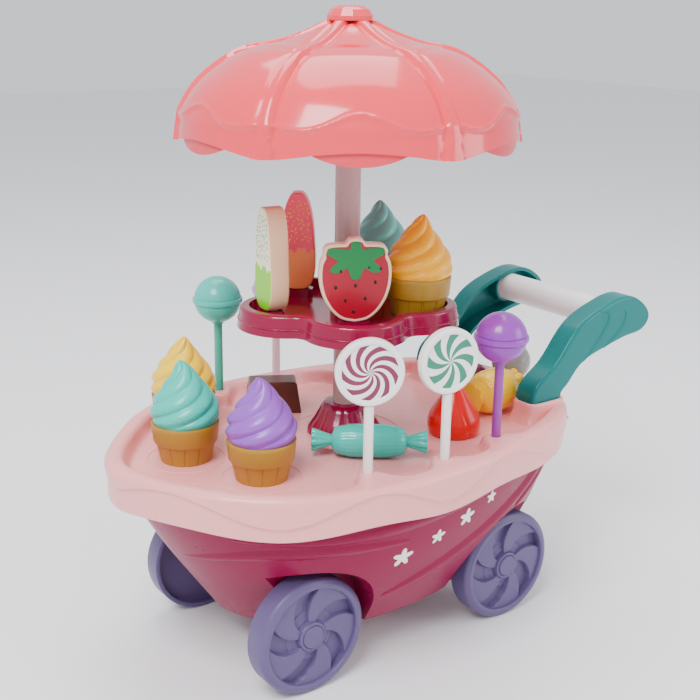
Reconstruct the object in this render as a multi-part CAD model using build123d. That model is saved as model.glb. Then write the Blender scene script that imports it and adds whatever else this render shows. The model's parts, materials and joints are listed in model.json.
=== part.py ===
"""A toy sweet-shop push cart: hull, sweet tray, wheels, handle, raised tray, canopy and its sweets.

Frame: +X points from the nose to the push handle, +Y to the cart's right side, +Z up.
The origin is on the floor, under the middle of the cart's length and width. Millimetres.
"""
from build123d import *
import math
import os

# Overall sizes
CART_LENGTH = 388.0
CART_HEIGHT = 400.0
TRAY_LENGTH = 322.0
TRAY_WIDTH = 220.0
NOSE_X = -CART_LENGTH / 2
HANDLE_END_X = CART_LENGTH / 2

# Running gear
WHEEL_RADIUS = 37.5
WHEEL_WIDTH = 15.7
TRACK = 129.9
FRONT_AXLE_SETBACK = 89.0
WHEELBASE = 159.5
AXLE_RADIUS = 2.0
AXLE_RUNNING_CLEARANCE = 0.05
BUSH_WALL = 1.5
BUSH_FLANGE = 1.4
HUB_CAP_RADIUS = 7.3
HUB_CAP_THICKNESS = 2.6
WHEEL_BLADES = 5

# Hull
KEEL_Z = 30.0
HULL_WALL = 2.5
ARCH_GAP = 7.5
ARCH_SIDE_GAP = 2.6

# Sweet tray
DECK_Z = 131.0
DECK_THICKNESS = 2.5
RIM_RISE = 10.0
RIM_WIDTH = 13.0
SKIRT_DROP = 17.0
SKIRT_WALL = 2.5
SEAT_GAP = 0.1
CUP_RECESS_DEPTH = 1.2

# Handle
ARM_THICKNESS = 16.0
ARM_DEPTH = 28.0
ARM_CENTRE_Y = 53.5
ARM_WALL = 2.8
ARM_EDGE_RADIUS = 2.5
HANDLE_RISE = 66.0
BAR_RADIUS = 10.2
BAR_WALL = 2.0
COLLAR_RISE = 14.0
COLLAR_WALL = 2.6

# Pole and raised tray
POLE_SETBACK = 163.5
POLE_RADIUS = 8.0
POLE_WALL = 1.6
UPPER_TRAY_Z = 208.0
UPPER_TRAY_HEIGHT = 13.0
UPPER_TRAY_FLOOR_RISE = 6.0
LOBE_COUNT = 5
LOBE_REACH = 40.0
LOBE_RADIUS = 32.0
LOBE_TURN = -119.0
NOTCH_RADIUS = 9.0
UPPER_RIM_WIDTH = 7.5

# Canopy
CANOPY_RADIUS = 106.8
CANOPY_HEIGHT = 78.6
CANOPY_WALL = 2.2
CANOPY_RIBS = 6
CANOPY_TURN = -93.0
RIB_WIDTH = 7.0
RIB_RISE = 2.3
PANEL_ARCH_RISE = 6.0
LINER_WALL = 1.6
LINER_DROP = 3.0
SOCKET_CLEARANCE = 0.06

# Sweets
STICK_RADIUS = 2.9
STICK_CLEARANCE = 0.3
STICK_HOLE_DEPTH = 11.0
LOLLIPOP_RISE = 65.0
BALL_RADIUS = 16.0
DISC_RADIUS = 20.0
DISC_THICKNESS = 6.0
CUP_FOOT_RADIUS = 15.5
CUP_MOUTH_RADIUS = 20.8
CUP_HEIGHT = 26.0
SWIRL_RADIUS = 21.5
SWIRL_HEIGHT = 38.0
POPSICLE_WIDTH = 25.0
POPSICLE_HEIGHT = 64.0
POPSICLE_THICKNESS = 13.0
STRAWBERRY_WIDTH = 44.0
STRAWBERRY_HEIGHT = 52.0
STRAWBERRY_THICKNESS = 8.0

# Places that follow from the sizes above
FRONT_AXLE_X = NOSE_X + FRONT_AXLE_SETBACK
REAR_AXLE_X = FRONT_AXLE_X + WHEELBASE
POLE_X = NOSE_X + POLE_SETBACK
TAIL_X = NOSE_X + TRAY_LENGTH
HALF_WIDTH = TRAY_WIDTH / 2
RIM_Z = DECK_Z + RIM_RISE
UNDER_DECK_Z = DECK_Z - DECK_THICKNESS
SKIRT_Z = DECK_Z - SKIRT_DROP
WHEEL_FACE_Y = (TRACK + WHEEL_WIDTH) / 2
WHEEL_BACK_Y = (TRACK - WHEEL_WIDTH) / 2
ARCH_Y = WHEEL_BACK_Y - ARCH_SIDE_GAP
BUSH_RADIUS = AXLE_RADIUS + AXLE_RUNNING_CLEARANCE + BUSH_WALL
BUSH_LENGTH = 12.0
COLLAR_X = TAIL_X - 34.0
COLLAR_Z = DECK_Z + COLLAR_RISE
COLLAR_FOOT_Z = DECK_Z
ARM_INNER_Y = ARM_CENTRE_Y - ARM_THICKNESS / 2
ARM_OUTER_Y = ARM_CENTRE_Y + ARM_THICKNESS / 2
BAR_X = HANDLE_END_X - 34.0
BAR_Z = DECK_Z + HANDLE_RISE - 4.0
UPPER_FLOOR_Z = UPPER_TRAY_Z + UPPER_TRAY_FLOOR_RISE
CANOPY_EDGE_Z = CART_HEIGHT - CANOPY_HEIGHT
POLE_TOP_Z = CART_HEIGHT - 16.0

# Places on the tray, as shares of its length from the nose and of its half width
BOSS_SPOTS = [(0.368, -0.760), (0.527, -0.840), (0.685, -0.755), (0.381, 0.840), (0.532, 0.860), (0.685, 0.755)]
TEAL_CUP_SPOT = (0.171, 0.16)
PURPLE_CUP_SPOT = (0.240, -0.31)
YELLOW_CUP_SPOT = (0.247, 0.585)

# The egg-shaped plan, as shares of its length from the nose and of its half width
PLAN_SHAPE = [(0.075, 0.50), (0.20, 0.84), (0.50, 1.0), (0.80, 0.83), (0.96, 0.54)]

# The hull's levels: share of its height, then how far nose, stern and sides draw in there
HULL_LEVELS = [(0.0, 59.0, 47.0, 35.0), (0.25, 42.0, 23.0, 21.0), (0.56, 22.0, 8.0, 7.0), (1.0, 0.0, 0.0, 0.0)]


def plan_face(inset, z, nose_draw=0.0, stern_draw=0.0, side_draw=0.0):
    """The plan outline drawn in by `inset` all round, and by more at nose, stern and sides."""
    nose = NOSE_X + inset + nose_draw
    stern = TAIL_X - inset - stern_draw
    half = HALF_WIDTH - inset - side_draw
    left = [(nose + along * (stern - nose), -out * half) for along, out in PLAN_SHAPE]
    right = [(x, -y) for x, y in reversed(left)]
    return Pos(0, 0, z) * make_face(Spline((nose, 0), *left, (stern, 0), *right, periodic=True))


def slab(inset, low, high):
    """An upright block with the plan outline."""
    return extrude(plan_face(inset, low), high - low)


def post(x, y, radius, low, high):
    """An upright round post."""
    return Pos(x, y, (low + high) / 2) * Cylinder(radius, high - low)


def crossbar(x, z, radius, low, high):
    """A round bar along Y."""
    return Pos(x, (low + high) / 2, z) * Rot(90, 0, 0) * Cylinder(radius, high - low)


def turned(profile, x=0.0, y=0.0, z=0.0):
    """A solid of revolution about the upright axis through a point, from (radius, height) points."""
    section = make_face(Plane.XZ * Polyline(*profile, close=True))
    return Pos(x, y, z) * revolve(section, Axis.Z)


def joined(solids):
    """One solid from overlapping solids."""
    first, *rest = solids
    return first.fuse(*rest).clean()


# ---- hull and running gear ----

HULL_INSET = SKIRT_WALL + 8.0
AXLE_Z = WHEEL_RADIUS


def hull_loft(wall):
    """The boat shape, drawn in by `wall`."""
    height = UNDER_DECK_Z - KEEL_Z
    sections = []
    for level, nose, stern, side in HULL_LEVELS:
        z = KEEL_Z + level * height + (wall if level == 0.0 else 0.0)
        sections.append(plan_face(HULL_INSET + wall, z, nose, stern, side))
    return loft(sections)


def arch_space(x, side, grow):
    """The room for a wheel in the hull's side, open outwards and downwards."""
    radius = WHEEL_RADIUS + ARCH_GAP + grow
    inner = ARCH_Y - grow
    drum = crossbar(x, AXLE_Z, radius, inner, HALF_WIDTH)
    below = Pos(x, (inner + HALF_WIDTH) / 2, AXLE_Z / 2) * Box(2 * radius, HALF_WIDTH - inner, AXLE_Z)
    space = joined([drum, below])
    return space if side > 0 else mirror(space, about=Plane.XZ)


def hull():
    """Boat-shaped tub with a wheel arch at each corner and bearing tubes for the axles."""
    outer = hull_loft(0.0)
    tub = outer - hull_loft(HULL_WALL)
    corners = [(x, side) for x in (FRONT_AXLE_X, REAR_AXLE_X) for side in (-1, 1)]
    for x, side in corners:
        tub = tub.fuse(outer & arch_space(x, side, HULL_WALL))
    for x, side in corners:
        tub = tub - arch_space(x, side, 0.0)
    for x, side in corners:
        ends = sorted((side * (ARCH_Y - BUSH_LENGTH + HULL_WALL), side * ARCH_Y))
        tub = tub.fuse(crossbar(x, AXLE_Z, BUSH_RADIUS + 2.5, *ends))
        tub = tub - crossbar(x, AXLE_Z, BUSH_RADIUS, -HALF_WIDTH, HALF_WIDTH)
    return tub.clean()


def axle(x):
    """Steel axle rod, through both wheels."""
    reach = WHEEL_FACE_Y - HUB_CAP_THICKNESS - 0.4
    return crossbar(x, AXLE_Z, AXLE_RADIUS, -reach, reach)


def axle_bushes():
    """Flanged bearing bushes in the hull's four bearing tubes."""
    bushes = []
    for x in (FRONT_AXLE_X, REAR_AXLE_X):
        for side in (-1, 1):
            tube_ends = sorted((side * (ARCH_Y - BUSH_LENGTH + HULL_WALL), side * ARCH_Y))
            flange_ends = sorted((side * ARCH_Y, side * (ARCH_Y + BUSH_FLANGE)))
            bush = joined([crossbar(x, AXLE_Z, BUSH_RADIUS, *tube_ends),
                           crossbar(x, AXLE_Z, BUSH_RADIUS + 2.0, *flange_ends)])
            bushes.append(bush - crossbar(x, AXLE_Z, AXLE_RADIUS + AXLE_RUNNING_CLEARANCE, -HALF_WIDTH, HALF_WIDTH))
    return Compound(children=bushes)


def wheel_blade(depth):
    """One curved blade of the wheel's face, from hub to rim."""
    hub, rim = 7.0, WHEEL_RADIUS - 5.0
    leading = ThreePointArc((0, hub), (0.30 * rim, 0.62 * rim), (0.80 * rim, 0.60 * rim))
    trailing = ThreePointArc((hub * 0.9, 0), (0.50 * rim, 0.24 * rim), (0.97 * rim, 0.22 * rim))
    outline = [leading, Line(leading @ 1, trailing @ 1), trailing, Line(trailing @ 0, leading @ 0)]
    return extrude(make_face(outline), depth)


def wheel(x, side):
    """Hollow-backed wheel with a bladed face, a rounded rim and a hub sleeve on the axle."""
    rim, wall = WHEEL_RADIUS, 3.0
    ring_inner = rim - 6.2
    face_high = WHEEL_WIDTH - 2.4
    face_low = face_high - 3.0
    drum = turned([(rim - wall, 0), (rim, 0), (rim, WHEEL_WIDTH), (ring_inner, WHEEL_WIDTH),
                   (ring_inner, face_low), (rim - wall, face_low)])
    top = drum.edges().filter_by(GeomType.CIRCLE).group_by(Axis.Z)[-1]
    drum = fillet(top.sort_by(SortBy.RADIUS)[-1], 2.4)
    drum = fillet(drum.edges().filter_by(GeomType.CIRCLE).group_by(Axis.Z)[-1].sort_by(SortBy.RADIUS)[0], 1.6)
    plate = turned([(0, face_low), (ring_inner + 1.0, face_low), (ring_inner + 1.0, face_high), (0, face_high)])
    hub = post(0, 0, HUB_CAP_RADIUS + 2.0, face_low, WHEEL_WIDTH - 0.8)
    sleeve = post(0, 0, 6.0, 0.6, face_low)
    blades = [Rot(0, 0, turn * 360 / WHEEL_BLADES) * Pos(0, 0, face_high) * wheel_blade(1.3)
              for turn in range(WHEEL_BLADES)]
    limit = post(0, 0, ring_inner + 0.5, 0, WHEEL_WIDTH)
    body = joined([drum, plate, hub, sleeve, *[blade & limit for blade in blades]])
    body = body - post(0, 0, HUB_CAP_RADIUS + SEAT_GAP, WHEEL_WIDTH - HUB_CAP_THICKNESS, WHEEL_WIDTH)
    body = body - post(0, 0, AXLE_RADIUS, -1, WHEEL_WIDTH)
    return Pos(x, side * WHEEL_BACK_Y, AXLE_Z) * Rot(-90 * side, 0, 0) * body


def hub_cap(x, side):
    """Domed cap that closes the hub over the axle's end."""
    seat = WHEEL_WIDTH - HUB_CAP_THICKNESS
    cap = post(0, 0, HUB_CAP_RADIUS, seat, seat + HUB_CAP_THICKNESS)
    cap = fillet(cap.edges().group_by(Axis.Z)[-1], 1.0)
    return Pos(x, side * WHEEL_BACK_Y, AXLE_Z) * Rot(-90 * side, 0, 0) * cap


# ---- sweet tray ----

CUP_CLEARANCE = 0.4
BOSS_RADIUS = 7.5
POLE_SOCKET_WALL = 2.5
POLE_SOCKET_Z = DECK_Z - 12.0
LOOSE_BALL_RADIUS = 14.0
BALL_SPOT = (TAIL_X - 11.0, -2.0)
BALL_Z = RIM_Z + LOOSE_BALL_RADIUS - 1.5


def tray_spot(spot):
    """A place on the tray from its shares of length and half width."""
    along, out = spot
    return NOSE_X + along * TRAY_LENGTH, out * HALF_WIDTH


def arm_section(grow, low, high, side):
    """The upright block that the foot of a handle arm fills, grown by `grow` all round."""
    block = Box(ARM_DEPTH + 2 * grow, ARM_THICKNESS + 2 * grow, high - low)
    block = fillet(block.edges().filter_by(Axis.Z), 4.0 + grow)
    return Pos(COLLAR_X, side * ARM_CENTRE_Y, (low + high) / 2) * block


def main_tray():
    """Sweet tray: deck, broad rounded rim, skirt, lollipop bosses, cup recesses and sockets."""
    tray = slab(0.0, SKIRT_Z, RIM_Z)
    tray = fillet(tray.faces().sort_by(Axis.Z)[-1].edges(), 5.0)
    tray = tray - slab(RIM_WIDTH, DECK_Z, RIM_Z + 1.0)
    lip = [edge for edge in tray.edges().group_by(Axis.Z)[-1] if edge.center().Z > RIM_Z - 0.01]
    inner_lip = sorted(lip, key=lambda edge: edge.bounding_box().size.X)[:2]
    tray = fillet(inner_lip, 4.0)
    tray = tray - slab(SKIRT_WALL, SKIRT_Z - 1.0, UNDER_DECK_Z)
    gutter = slab(SKIRT_WALL, UNDER_DECK_Z - 1.0, RIM_Z - 3.0) - slab(RIM_WIDTH - SKIRT_WALL, DECK_Z - 20.0, RIM_Z)
    tray = tray - gutter
    bosses = []
    for spot in BOSS_SPOTS:
        x, y = tray_spot(spot)
        bosses.append(post(x, y, BOSS_RADIUS, UNDER_DECK_Z, RIM_Z - 0.6))
    collars = [arm_section(COLLAR_WALL, UNDER_DECK_Z, COLLAR_Z, side) for side in (-1, 1)]
    pole_socket = post(POLE_X, 0, POLE_RADIUS + POLE_SOCKET_WALL, POLE_SOCKET_Z - DECK_THICKNESS, DECK_Z)
    tray = tray.fuse(*bosses, *collars, pole_socket)
    for spot in BOSS_SPOTS:
        x, y = tray_spot(spot)
        tray = tray - post(x, y, STICK_RADIUS + STICK_CLEARANCE, RIM_Z - STICK_HOLE_DEPTH, RIM_Z + 1.0)
    for side in (-1, 1):
        tray = tray - arm_section(0.0, COLLAR_FOOT_Z, COLLAR_Z + 1.0, side)
    tray = tray - post(POLE_X, 0, POLE_RADIUS, POLE_SOCKET_Z, DECK_Z + 1.0)
    for spot in (TEAL_CUP_SPOT, PURPLE_CUP_SPOT, YELLOW_CUP_SPOT):
        x, y = tray_spot(spot)
        tray = tray - post(x, y, CUP_FOOT_RADIUS + CUP_CLEARANCE, DECK_Z - CUP_RECESS_DEPTH, DECK_Z + 1.0)
    return (tray - Pos(*BALL_SPOT, BALL_Z) * Sphere(LOOSE_BALL_RADIUS + SEAT_GAP)).clean()


# ---- handle ----

ARM_TOP = [(0.03, 0.46), (0.25, 0.78), (0.52, 0.95), (0.76, 1.0), (0.93, 0.90), (1.0, 0.76)]
ARM_UNDERSIDE = [(0.95, 0.66), (0.82, 0.62), (0.54, 0.545), (0.29, 0.41), (0.18, 0.26)]
CORE_STEPS = 28


def arm_sweep():
    """The long curve of a handle arm's side view: up the stalk, back over the bar and down under the grip."""
    front, back = COLLAR_X - ARM_DEPTH / 2, COLLAR_X + ARM_DEPTH / 2
    reach, rise = HANDLE_END_X - COLLAR_X, HANDLE_RISE + 10.0
    curve = [(COLLAR_X + along * reach, DECK_Z + up * rise) for along, up in ARM_TOP + ARM_UNDERSIDE]
    return Spline((front, COLLAR_Z), *curve, (back, COLLAR_Z), tangents=[(0, 1), (0, -1)])


def arm_outline():
    """Side view of a handle arm, with its foot in the collar."""
    sweep = arm_sweep()
    foot = Polyline(sweep @ 1, ((sweep @ 1).X, COLLAR_FOOT_Z), ((sweep @ 0).X, COLLAR_FOOT_Z), sweep @ 0)
    return make_face(Plane.XZ * (Curve() + [sweep, foot]))


def arm_core():
    """Side view of the hollow in a handle arm: the arm's outline drawn in by its wall."""
    sweep = arm_sweep()
    drawn = []
    for step in range(CORE_STEPS + 1):
        along = sweep % (step / CORE_STEPS)
        drawn.append(sweep @ (step / CORE_STEPS) + ARM_WALL * Vector(along.Y, -along.X))
    curve = Spline(*drawn)
    base = COLLAR_Z + ARM_WALL
    upper = make_face(Plane.XZ * (Curve() + [curve, Line(curve @ 1, curve @ 0)]))
    return upper & make_face(Plane.XZ * Pos(COLLAR_X, base + CART_HEIGHT / 2) * Rectangle(CART_LENGTH, CART_HEIGHT))


def arm_block(outline, outer_y):
    """An arm-thick block with a side view of the given outline."""
    return Pos(0, outer_y, 0) * extrude(outline, ARM_THICKNESS, dir=(0, -1, 0))


def handle_arm(side):
    """Sculpted arm, hollow on its inner side, with a cup inside for the end of the bar."""
    arm = arm_block(arm_outline(), ARM_OUTER_Y)
    arm = fillet(arm.faces().sort_by(Axis.Y)[-1].edges(), ARM_EDGE_RADIUS)
    above_collar = Pos(COLLAR_X, ARM_CENTRE_Y, COLLAR_Z + 0.5 + CART_HEIGHT / 2) * Box(CART_LENGTH, 40, CART_HEIGHT)
    web_y = ARM_OUTER_Y - ARM_WALL
    core = arm_core()
    arm = (arm & above_collar) - arm_block(core, web_y)
    bar_cup = crossbar(BAR_X, BAR_Z, BAR_RADIUS + 1.8, web_y - 9.0, web_y + 1.0) & arm_block(core, ARM_OUTER_Y - 1.0)
    arm = arm.fuse(bar_cup, arm_section(0.0, COLLAR_FOOT_Z, COLLAR_Z + 2.0, 1))
    arm = arm - crossbar(BAR_X, BAR_Z, BAR_RADIUS, ARM_INNER_Y - 5.0, web_y)
    arm = arm.clean().solids().sort_by(SortBy.VOLUME)[-1]
    return arm if side > 0 else mirror(arm, about=Plane.XZ)


def handle_bar():
    """Push bar: a tube between the cups of the two arms."""
    reach = ARM_OUTER_Y - ARM_WALL
    bar = crossbar(BAR_X, BAR_Z, BAR_RADIUS, -reach, reach)
    return bar - crossbar(BAR_X, BAR_Z, BAR_RADIUS - BAR_WALL, -reach, reach)


# ---- pole and raised tray ----

BASE_FOOT_RADIUS = 25.0
BASE_HEIGHT = 21.0
UPPER_HUB_RADIUS = POLE_RADIUS + 2.4
UPPER_HUB_TOP = UPPER_FLOOR_Z + 10.0
UPPER_SEPTUM_Z = UPPER_FLOOR_Z - 1.6
HOLDER_RISE = 5.0


def pole_base():
    """Flared skirt round the foot of the pole."""
    top = DECK_Z + BASE_HEIGHT
    outer = [(BASE_FOOT_RADIUS, DECK_Z), (BASE_FOOT_RADIUS - 0.6, DECK_Z + 4.0), (19.5, DECK_Z + 11.0),
             (16.5, top - 4.0), (14.0, top)]
    inner = [(POLE_RADIUS, top), (POLE_RADIUS, top - 3.0), (13.5, top - 3.5), (17.0, DECK_Z + 10.0),
             (BASE_FOOT_RADIUS - 2.6, DECK_Z + 3.0), (BASE_FOOT_RADIUS - 2.4, DECK_Z)]
    return turned(outer + inner, POLE_X)


def pole_tube(low, high):
    """A length of the pole."""
    return post(POLE_X, 0, POLE_RADIUS, low, high) - post(POLE_X, 0, POLE_RADIUS - POLE_WALL, low, high)


def lower_pole():
    """Pole from the sweet tray's socket to the raised tray."""
    return pole_tube(POLE_SOCKET_Z, UPPER_SEPTUM_Z)


def upper_pole():
    """Pole from the raised tray to the canopy, closed at its top."""
    tube = pole_tube(UPPER_FLOOR_Z, POLE_TOP_Z)
    return tube.fuse(post(POLE_X, 0, POLE_RADIUS - POLE_WALL / 2, POLE_TOP_Z - 2.0, POLE_TOP_Z)).clean()


def lobed_outline(inset):
    """The raised tray's plan: five round lobes with softened notches between them, drawn in all round."""
    lobes = [Rot(0, 0, LOBE_TURN + lobe * 360 / LOBE_COUNT) * Pos(LOBE_REACH, 0) * Circle(LOBE_RADIUS - inset)
             for lobe in range(LOBE_COUNT)]
    outline = Sketch() + lobes + Circle(LOBE_REACH - inset)
    return fillet(outline.vertices(), NOTCH_RADIUS + inset)


def lobe_spot(lobe, reach):
    """A place on the raised tray: the number of a lobe and a reach from the pole."""
    turn = math.radians(LOBE_TURN + lobe * 360 / LOBE_COUNT)
    return POLE_X + reach * math.cos(turn), reach * math.sin(turn)


GREEN_POPSICLE_SPOT = lobe_spot(4, 51.0)
PINK_POPSICLE_SPOT = lobe_spot(3, 47.0)
STRAWBERRY_SPOT = lobe_spot(0, 36.0)
ORANGE_CUP_SPOT = lobe_spot(1, 45.5)
BLUE_CUP_SPOT = lobe_spot(2, 45.5)
GREEN_POPSICLE_TURN = 172.0
PINK_POPSICLE_TURN = 232.0
STRAWBERRY_TURN = -119.0
POPSICLE_TANG_WIDTH = 9.0
POPSICLE_TANG_THICKNESS = 4.0
POPSICLE_TANG_DEPTH = 5.0
SLOT_CLEARANCE = 0.35


def standing_block(spot, turn, width, thickness, low, high):
    """An upright flat block whose broad face looks towards `turn`, in degrees about the upright axis."""
    x, y = spot
    return Pos(x, y, (low + high) / 2) * Rot(0, 0, turn) * Box(thickness, width, high - low)


def upright(spot, turn, low):
    """The place of a flat piece that stands on a spot with its face towards `turn`."""
    facing = math.radians(turn)
    across, ahead = (-math.sin(facing), math.cos(facing), 0), (math.cos(facing), math.sin(facing), 0)
    return Plane(origin=(*spot, low), x_dir=across, z_dir=ahead)


def upper_tray():
    """Five-lobed dish with a rounded rim, a hub for the pole, cup recesses and popsicle holders."""
    at = Pos(POLE_X, 0, UPPER_TRAY_Z)
    rim_z = UPPER_TRAY_Z + UPPER_TRAY_HEIGHT
    dish = extrude(at * lobed_outline(0.0), UPPER_TRAY_HEIGHT, taper=9)
    dish = fillet(dish.faces().sort_by(Axis.Z)[-1].edges(), 2.0)
    basin = extrude(Pos(POLE_X, 0, UPPER_FLOOR_Z) * lobed_outline(UPPER_RIM_WIDTH), UPPER_TRAY_HEIGHT)
    under = extrude(at * lobed_outline(2.6), UPPER_TRAY_FLOOR_RISE - 2.2)
    dish = dish - basin - under
    hub = post(POLE_X, 0, UPPER_HUB_RADIUS, UPPER_TRAY_Z - 6.0, UPPER_HUB_TOP)
    holders = [standing_block(GREEN_POPSICLE_SPOT, GREEN_POPSICLE_TURN, 20.0, 10.0, UPPER_FLOOR_Z - 1.0,
                              UPPER_FLOOR_Z + HOLDER_RISE),
               standing_block(PINK_POPSICLE_SPOT, PINK_POPSICLE_TURN, 20.0, 10.0, UPPER_FLOOR_Z - 1.0,
                              UPPER_FLOOR_Z + HOLDER_RISE),
               standing_block(STRAWBERRY_SPOT, STRAWBERRY_TURN, 20.0, 8.0, UPPER_FLOOR_Z - 1.0, UPPER_FLOOR_Z + 2.0)]
    dish = dish.fuse(hub, *[fillet(holder.edges().filter_by(Axis.Z), 3.5) for holder in holders])
    for spot, turn in ((GREEN_POPSICLE_SPOT, GREEN_POPSICLE_TURN), (PINK_POPSICLE_SPOT, PINK_POPSICLE_TURN)):
        dish = dish - standing_block(spot, turn, POPSICLE_TANG_WIDTH + 2 * SLOT_CLEARANCE,
                                     POPSICLE_TANG_THICKNESS + 2 * SLOT_CLEARANCE,
                                     UPPER_FLOOR_Z, rim_z)
    dish = dish - post(POLE_X, 0, POLE_RADIUS, UPPER_FLOOR_Z, CART_HEIGHT)
    dish = dish - post(POLE_X, 0, POLE_RADIUS, 0, UPPER_SEPTUM_Z)
    for x, y in (ORANGE_CUP_SPOT, BLUE_CUP_SPOT):
        dish = dish - post(x, y, CUP_FOOT_RADIUS + CUP_CLEARANCE, UPPER_FLOOR_Z - CUP_RECESS_DEPTH, rim_z)
    return dish.clean()


# ---- canopy ----

CROWN_LEVEL = 0.895
CANOPY_PROFILE = [(1.0, 0.0), (0.985, 0.14), (0.96, 0.27), (0.84, 0.49), (0.62, 0.69), (0.39, 0.76),
                  (0.225, 0.84), (0.10, 0.93)]
FINIAL_RADIUS = 14.0
NECK_RADIUS = 6.0


def canopy_section(inset):
    """Half section of the canopy's skin, drawn in square to its surface: (radius, height) points."""
    points = [(radius * CANOPY_RADIUS, CANOPY_EDGE_Z + rise * CANOPY_HEIGHT) for radius, rise in CANOPY_PROFILE]
    drawn = []
    for index, (radius, z) in enumerate(points):
        before = points[max(index - 1, 0)]
        after = points[min(index + 1, len(points) - 1)]
        across, up = after[0] - before[0], after[1] - before[1]
        reach = math.hypot(across, up)
        drawn.append((radius - inset * up / reach, z + inset * across / reach))
    return drawn


def canopy_skin(outer, inner, top_level):
    """A turned skin between two insets, cut off level at the top."""
    outside = Spline(*canopy_section(outer))
    inside = Spline(*canopy_section(inner))
    rim = Line(outside @ 0, inside @ 0)
    crown = Line(outside @ 1, inside @ 1)
    skin = revolve(make_face(Plane.XZ * (Curve() + [outside, inside, rim, crown])), Axis.Z)
    return skin - post(0, 0, CANOPY_RADIUS, top_level, CART_HEIGHT + 5.0)


def canopy():
    """Six-ribbed umbrella canopy whose edge arches up between the ribs."""
    skin = canopy_skin(RIB_RISE, RIB_RISE + CANOPY_WALL, CANOPY_EDGE_Z + CROWN_LEVEL * CANOPY_HEIGHT)
    half_panel = CANOPY_RADIUS * math.sin(math.pi / CANOPY_RIBS)
    arch_radius = (half_panel ** 2 + PANEL_ARCH_RISE ** 2) / (2 * PANEL_ARCH_RISE)
    arch_z = CANOPY_EDGE_Z + PANEL_ARCH_RISE - arch_radius
    for rib in range(CANOPY_RIBS):
        middle = CANOPY_TURN + (rib + 0.5) * 360 / CANOPY_RIBS
        arch = Rot(0, 0, middle) * Pos(CANOPY_RADIUS, 0, arch_z) * Rot(0, 90, 0) * Cylinder(arch_radius, 60)
        skin = skin - arch
    outside = Spline(*canopy_section(0.0))
    inside = Spline(*canopy_section(RIB_RISE + 1.0))
    outline = [outside, inside, Line(outside @ 0, inside @ 0), Line(outside @ 1, inside @ 1)]
    strip = extrude(make_face(Plane.XZ * (Curve() + outline)), RIB_WIDTH / 2, both=True)
    strip = strip - post(0, 0, CANOPY_RADIUS, CANOPY_EDGE_Z + CROWN_LEVEL * CANOPY_HEIGHT, CART_HEIGHT + 5.0)
    ribs = [Rot(0, 0, CANOPY_TURN + rib * 360 / CANOPY_RIBS) * strip for rib in range(CANOPY_RIBS)]
    return Pos(POLE_X, 0, 0) * skin.fuse(*ribs).clean()


def canopy_liner():
    """Inner lining with a scalloped tongue under each panel."""
    inset = RIB_RISE + CANOPY_WALL
    band = canopy_skin(inset, inset + LINER_WALL, CANOPY_EDGE_Z + 0.36 * CANOPY_HEIGHT)
    foot = turned([(points[0], points[1]) for points in liner_foot(inset)])
    band = band.fuse(foot)
    scallop_radius = 0.58 * CANOPY_RADIUS
    tongue_z = CANOPY_EDGE_Z - LINER_DROP + scallop_radius
    tongues = [Rot(0, 0, CANOPY_TURN + (rib + 0.5) * 360 / CANOPY_RIBS) * Pos(CANOPY_RADIUS * 0.9, 0, tongue_z)
               * Rot(0, 90, 0) * Cylinder(scallop_radius, CANOPY_RADIUS) for rib in range(CANOPY_RIBS)]
    return Pos(POLE_X, 0, 0) * (band & joined(tongues))


def liner_foot(inset):
    """Section of the lining's skirt where it hangs straight below the canopy's edge."""
    outer = canopy_section(inset)[0][0]
    inner = canopy_section(inset + LINER_WALL)[0][0]
    low = CANOPY_EDGE_Z - LINER_DROP - 1.0
    return [(inner, low), (outer, low), (outer, CANOPY_EDGE_Z), (inner, CANOPY_EDGE_Z + 0.3)]


def canopy_socket():
    """Blind tube under the crown that turns on the top of the pole."""
    bore = POLE_RADIUS + SOCKET_CLEARANCE
    low, high = CANOPY_EDGE_Z + 22.0, CANOPY_EDGE_Z + 0.84 * CANOPY_HEIGHT
    tube = post(POLE_X, 0, bore + 2.2, low, high)
    return tube - post(POLE_X, 0, bore, low - 1.0, POLE_TOP_Z + SEAT_GAP)


def canopy_finial():
    """Domed knob that closes the crown over the rib ends."""
    seat = CANOPY_EDGE_Z + CROWN_LEVEL * CANOPY_HEIGHT
    rise = CART_HEIGHT - seat
    profile = [(0, seat - 2.0), (NECK_RADIUS, seat - 2.0), (NECK_RADIUS, seat), (FINIAL_RADIUS, seat),
               (FINIAL_RADIUS, seat + 0.35 * rise), (0.85 * FINIAL_RADIUS, seat + 0.78 * rise),
               (0.55 * FINIAL_RADIUS, CART_HEIGHT), (0, CART_HEIGHT)]
    return turned(profile, POLE_X)


# ---- sweets ----

CUP_WALL = 2.0
SPIGOT_HEIGHT = 3.0
PEG_RADIUS = 1.8
PEG_DEPTH = 5.0
SPIGOT_CLEARANCE = 0.35


def cup(spot, floor):
    """Wafer cup: tapering foot, broad plain band, open mouth."""
    low = floor - CUP_RECESS_DEPTH + SEAT_GAP
    band = low + 0.52 * CUP_HEIGHT
    high = low + CUP_HEIGHT
    mouth = CUP_MOUTH_RADIUS - CUP_WALL
    profile = [(0, low), (CUP_FOOT_RADIUS, low), (CUP_MOUTH_RADIUS - 2.6, band), (CUP_MOUTH_RADIUS - 1.0, band),
               (CUP_MOUTH_RADIUS, high), (mouth, high), (mouth, high - SPIGOT_HEIGHT - 0.3),
               (mouth - 2.0, high - SPIGOT_HEIGHT - 0.3), (CUP_FOOT_RADIUS - CUP_WALL, low + CUP_WALL),
               (0, low + CUP_WALL)]
    return turned(profile, *spot)


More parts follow.
